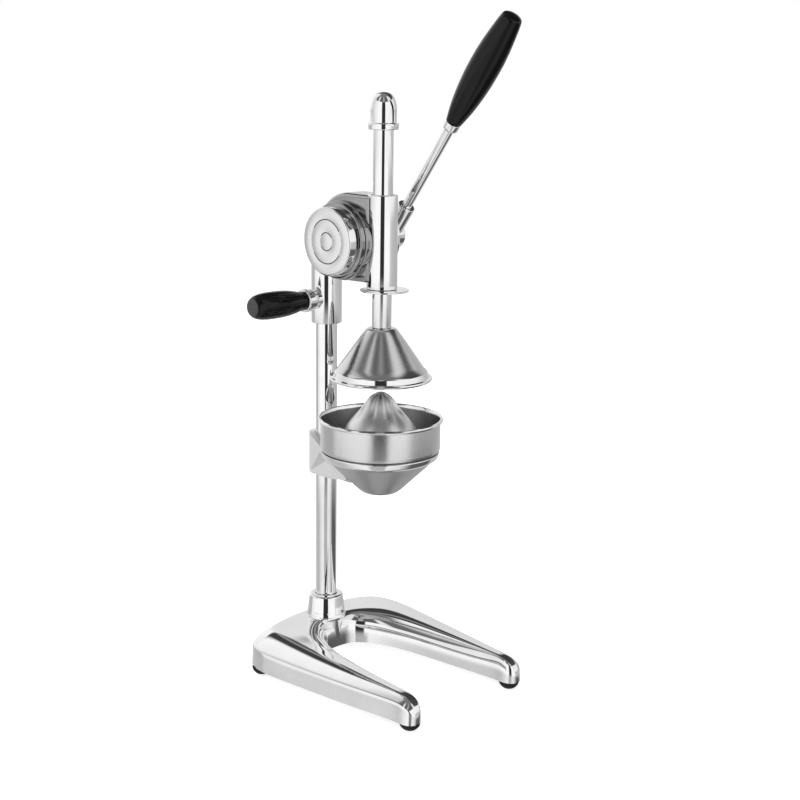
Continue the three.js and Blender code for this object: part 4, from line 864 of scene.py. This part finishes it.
bushes = {
    "upper": ((10.3, 0), (11.8, 0), (11.8, 23), (10.3, 23, 0.4)),
    "lower": ((10.3, 0, 0.3), (13.4, 0, 0.4), (13.4, 1.4, 0.2), (11.8, 1.4), (11.8, 27.7), (10.3, 27.7)),
}
for end, profile in bushes.items():
    node = f"{end}_rod_bush"
    dress(turnPiece(f"{end}RodBush", profile, footOf(node), closed=True), "bearingBronze", node)
print("head made")

# Lever: its parts stand along the leaning line that starts at the cross shaft
lever = {
    "plane": 47, "lean": 36.3, "steps": 64, "smoothAngle": 40,
    "hub": ((8.4, 35), (14, 35, 1.2), (14, 56.5, 2.6), (8.4, 56.5, 0.5)),
    "socket": ((5.3, 10), (9, 10), (9, 39.6, 1), (5.3, 39.6, 0.5)),
    "rod": ((0, 19), (5, 19, 0.6), (5, 238.8, 0.6), (0, 238.8)),
    "ferruleAt": 137.5, "ferrule": ((5.3, 0), (7.0, 0, 0.4), (7.9, 1.6, 0.8), (7.9, 8.4, 0.5), (5.3, 9)),
    "gripAt": 146.8,
    "grip": ((5.3, 0), (8.0, 0, 0.7), (8.7, 3), (10.2, 10), (11.9, 19), (13.3, 29.5), (14.4, 41), (15.1, 53),
             (15.3, 65), (15.1, 77), (14.2, 90), (12.9, 102), (11.6, 112), (10.6, 118), (9.7, 122, 1.6),
             (6, 123.3, 1.5), (0, 123.9), (0, 92), (5.3, 92)),
}
leverPlace = Vector((lever["plane"] * mm, pivot.y, pivot.z))
leverWay = Vector((0, -math.sin(math.radians(lever["lean"])), math.cos(math.radians(lever["lean"]))))


def turnOnLever(name, part, at=0, **how):
    return turnPiece(name, lever[part], leverPlace + leverWay * at * mm, leverWay, **how)


def makeLever():
    steps = lever["steps"]
    hub = turnPiece("leverHubBoss", lever["hub"], Vector((0, pivot.y, pivot.z)), (1, 0, 0), closed=True)
    socket = turnOnLever("leverSocket", "socket", steps=steps, closed=True)
    dress(joinPieces("leverHubBoss", [hub, socket]), "polishedChrome", "lever_hub")
    dress(turnOnLever("leverBar", "rod", steps=steps), "polishedChrome", "lever_rod")
    ferrule = turnOnLever("leverFerruleRing", "ferrule", lever["ferruleAt"], steps=steps, closed=True)
    dress(ferrule, "polishedChrome", "lever_ferrule")
    grip = turnOnLever("leverGripHandle", "grip", lever["gripAt"], closed=True, angle=lever["smoothAngle"])
    dress(grip, "blackGrip", "lever_grip")


makeLever()

shaft = {"profile": ((0, 0), (8, 0, 1), (8, 94.4, 1), (0, 94.4)), "steps": 64}
shaftPlace = Vector((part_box("pinion_shaft")[0].x, pivot.y, pivot.z))
shaftPiece = turnPiece("pinionShaftBar", shaft["profile"], shaftPlace, (1, 0, 0), steps=shaft["steps"])
dress(shaftPiece, "machinedSteel", "pinion_shaft")

sideHandle = {
    "ferrule": ((4.3, 0), (9.6, 0, 0.4), (10.2, 2.4, 0.5), (11.5, 3, 0.6), (12.2, 12.6, 0.9),
                (11.2, 13.6, 0.4), (4.3, 13.6)),
    "grip": ((4.3, 0), (9.8, 0, 0.4), (9.9, 3.6), (10.5, 7.6), (11.6, 12.2), (12.6, 18), (13.4, 25),
             (13.8, 33), (13.9, 41), (13.7, 49), (13.1, 55), (12.1, 59.6), (10.8, 62.8), (9.2, 65, 0.5),
             (7.9, 65.9, 0.3), (0, 66), (0, 17.6), (4.3, 17.6)),
    "smoothAngle": 40, "endFrom": -31.9,
}


def turnOnHandle(part, name, finish):
    node = f"handle_{part}"
    place = Vector((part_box(node)[1].x, middle("column").y, middle(node).z))
    piece = turnPiece(name, sideHandle[part], place, (-1, 0, 0), closed=True, angle=sideHandle["smoothAngle"])
    dress(piece, finish, node)
    return piece


def makeSideHandle():
    turnOnHandle("ferrule", "handleFerruleRing", "polishedChrome")
    grip = turnOnHandle("grip", "handleGripHandle", "blackGrip")
    polish(grip, "gripEnd", lambda spot: spot.x < sideHandle["endFrom"])


makeSideHandle()
print("lever and side handle made")

# Inner pieces keep their own shapes and get a finish only
innerFinishes = {
    "machinedSteel": ["column_washer", "column_bolt", "funnel_screw_left", "funnel_screw_right",
                      "bell_washer", "bell_nut", "pinion", "pinion_key", "spring_pin", "hub_pin",
                      "lever_pin", "handle_stud"],
    "bearingBronze": ["left_shaft_bush", "right_shaft_bush"],
    "springStrip": ["return_spring"],
}
for finish, nodes in innerFinishes.items():
    for node in nodes:
        piece = frame["nodes"][node]
        piece.data.materials.clear()
        piece.data.materials.append(materials[finish])

# Floor, light and background, in metres; each ring is what polished metal sees round the object, as angle
# and brightness: far below, below, level with it and higher up; the steps are the tilts between the rings
studio = {
    "floorSize": 6, "floorDrop": 0.0004, "floorColor": 0.8, "floorGlow": 0.75, "diffuse": 0.4,
    "aim": (0, 0, 0.3),
    "lamps": (
        {"name": "softboxLeft", "place": (-1.4, 0.9, 1.7), "size": 0.9, "watts": 30},
        {"name": "softboxRight", "place": (1.0, -1.7, 1.5), "size": 1.0, "watts": 9},
        {"name": "softboxTop", "place": (0.3, 0.5, 2.2), "size": 1.4, "watts": 18},
    ),
    "rings": (
        ((-180, 0.9), (-162, 0.95), (-153, 0.5), (-124, 0.46), (-119, 0.9), (-90, 0.8), (-62, 0.12),
         (-16, 0.1), (-4, 0.5), (20, 0.55), (60, 0.7), (100, 0.55), (140, 0.52), (160, 0.75), (180, 0.9)),
        ((-180, 1.08), (-150, 1.08), (-147.5, 0.03), (-120, 0.03), (-117.5, 1.08), (-80, 1.08), (-70, 0.66),
         (-48, 0.54), (0, 0.48), (28, 0.6), (46, 0.8), (58, 0.84), (100, 0.5), (126, 0.5), (131, 0.95),
         (142, 0.95), (160, 1.08), (180, 1.08)),
        ((-180, 1.08), (-150, 1.08), (-147.5, 0.03), (-120, 0.03), (-117.5, 1.08), (-40, 0.95), (0, 0.5),
         (30, 0.66), (46, 0.82), (58, 0.84), (66, 1.05), (100, 0.9), (125, 0.7), (150, 0.9), (180, 1.08)),
        ((-180, 0.9), (-174, 0.13), (-146, 0.12), (-140, 0.42), (-128, 0.42), (-122, 0.12), (-92, 0.12),
         (-82, 0.9), (-54, 0.8), (-44, 0.07), (20, 0.05), (52, 0.05), (55, 0.28), (59, 0.28), (62, 0.05),
         (75, 0.05), (80, 1.05), (104, 0.95), (125, 0.66), (134, 0.6), (143, 0.16), (164, 0.14), (171, 0.9),
         (180, 0.9)),
    ),
    "steps": ((-22, -15), (-3, 3), (28, 32), (60, 70)), "top": 0.2,
}


def mathNode(tree, kind, *inputs):
    node = tree.nodes.new("ShaderNodeMath")
    node.operation = kind
    for slot, value in zip(node.inputs, inputs):
        if isinstance(value, (int, float)):
            slot.default_value = value
        else:
            tree.links.new(value, slot)
    return node.outputs[0]


def levelRamp(tree, factor, stops):
    ramp = tree.nodes.new("ShaderNodeValToRGB")
    points = ramp.color_ramp.elements
    while len(points) > 1:
        points.remove(points[-1])
    for i, (angle, level) in enumerate(stops):
        spot = (angle + 180) / 360
        stop = points[0] if i == 0 else points.new(spot)
        stop.position, stop.color = spot, (level, level, level, 1)
    tree.links.new(factor, ramp.inputs["Fac"])
    return ramp.outputs["Color"]


def mixColors(tree, factor, first, second):
    mix = tree.nodes.new("ShaderNodeMix")
    mix.data_type = "RGBA"
    tree.links.new(factor, mix.inputs["Factor"])
    tree.links.new(first, mix.inputs[6])  # the sockets for colours come after those for numbers and vectors
    tree.links.new(second, mix.inputs[7])
    return mix.outputs[2]


def mixShaders(tree, factor, first, second):
    mix = tree.nodes.new("ShaderNodeMixShader")
    for source, slot in zip((factor, first, second), mix.inputs):
        tree.links.new(source, slot)
    return mix.outputs[0]


def evenLight(tree, kind, strength):
    light = tree.nodes.new(kind)
    light.inputs["Color"].default_value = (1, 1, 1, 1)
    light.inputs["Strength"].default_value = strength
    return light.outputs[0]


def addWorld():
    world = bpy.data.worlds.new("studioWorld")
    world.use_nodes = True
    scene.world = world
    tree = world.node_tree
    nodes, links = tree.nodes, tree.links
    nodes.clear()
    way = nodes.new("ShaderNodeSeparateXYZ")
    links.new(nodes.new("ShaderNodeTexCoord").outputs["Generated"], way.inputs["Vector"])
    x, y, z = way.outputs
    turn = mathNode(tree, "MULTIPLY_ADD", mathNode(tree, "ARCTAN2", y, x), 1 / math.tau, 0.5)
    lift = mathNode(tree, "MULTIPLY_ADD", mathNode(tree, "ARCSINE", z), 1 / math.pi, 0.5)
    seen, *higher = (levelRamp(tree, turn, stops) for stops in studio["rings"])
    top = nodes.new("ShaderNodeRGB")
    top.outputs[0].default_value = (studio["top"],) * 3 + (1,)
    for (low, high), level in zip(studio["steps"], higher + [top.outputs[0]]):
        above = nodes.new("ShaderNodeMapRange")
        above.interpolation_type = "SMOOTHSTEP"
        above.inputs["From Min"].default_value = 0.5 + low / 180
        above.inputs["From Max"].default_value = 0.5 + high / 180
        links.new(lift, above.inputs["Value"])
        seen = mixColors(tree, above.outputs["Result"], seen, level)
    shiny = nodes.new("ShaderNodeBackground")
    links.new(seen, shiny.inputs["Color"])
    path = nodes.new("ShaderNodeLightPath").outputs
    soft = evenLight(tree, "ShaderNodeBackground", studio["diffuse"])
    lit = mixShaders(tree, path["Is Glossy Ray"], soft, shiny.outputs[0])
    direct = mathNode(tree, "MAXIMUM", path["Is Camera Ray"], path["Is Transmission Ray"])
    whole = mixShaders(tree, direct, lit, evenLight(tree, "ShaderNodeBackground", 1))
    links.new(whole, nodes.new("ShaderNodeOutputWorld").inputs["Surface"])


# The floor glows for the camera only, and polished metal sees through it
def addFloor():
    bpy.ops.object.select_all(action="DESELECT")
    bpy.ops.mesh.primitive_plane_add(size=studio["floorSize"], location=(0, 0, -studio["floorDrop"]))
    floor = bpy.context.object
    floor.name = floor.data.name = "paleFloor"
    material = bpy.data.materials.new("paleFloor")
    material.use_nodes = True
    tree = material.node_tree
    nodes, links = tree.nodes, tree.links
    nodes.clear()
    path = nodes.new("ShaderNodeLightPath").outputs
    dark, glow = (evenLight(tree, "ShaderNodeEmission", level) for level in (0, studio["floorGlow"]))
    matt, both = nodes.new("ShaderNodeBsdfDiffuse"), nodes.new("ShaderNodeAddShader")
    matt.inputs["Color"].default_value = (studio["floorColor"],) * 3 + (1,)
    links.new(matt.outputs[0], both.inputs[0])
    links.new(mixShaders(tree, path["Is Camera Ray"], dark, glow), both.inputs[1])
    clear = nodes.new("ShaderNodeBsdfTransparent").outputs[0]
    seen = mixShaders(tree, path["Is Glossy Ray"], both.outputs[0], clear)
    links.new(seen, nodes.new("ShaderNodeOutputMaterial").inputs["Surface"])
    floor.data.materials.append(material)


def addLamps():
    for lamp in studio["lamps"]:
        data = bpy.data.lights.new(lamp["name"], "AREA")
        data.shape, data.size, data.energy = "SQUARE", lamp["size"], lamp["watts"]
        light = bpy.data.objects.new(lamp["name"], data)
        light.location = lamp["place"]
        light.visible_glossy = False
        light.rotation_euler = (Vector(studio["aim"]) - light.location).to_track_quat("-Z", "Y").to_euler()
        scene.collection.objects.link(light)


addWorld()
addFloor()
addLamps()
scene.view_settings.view_transform = "Standard"
print("studio ready")
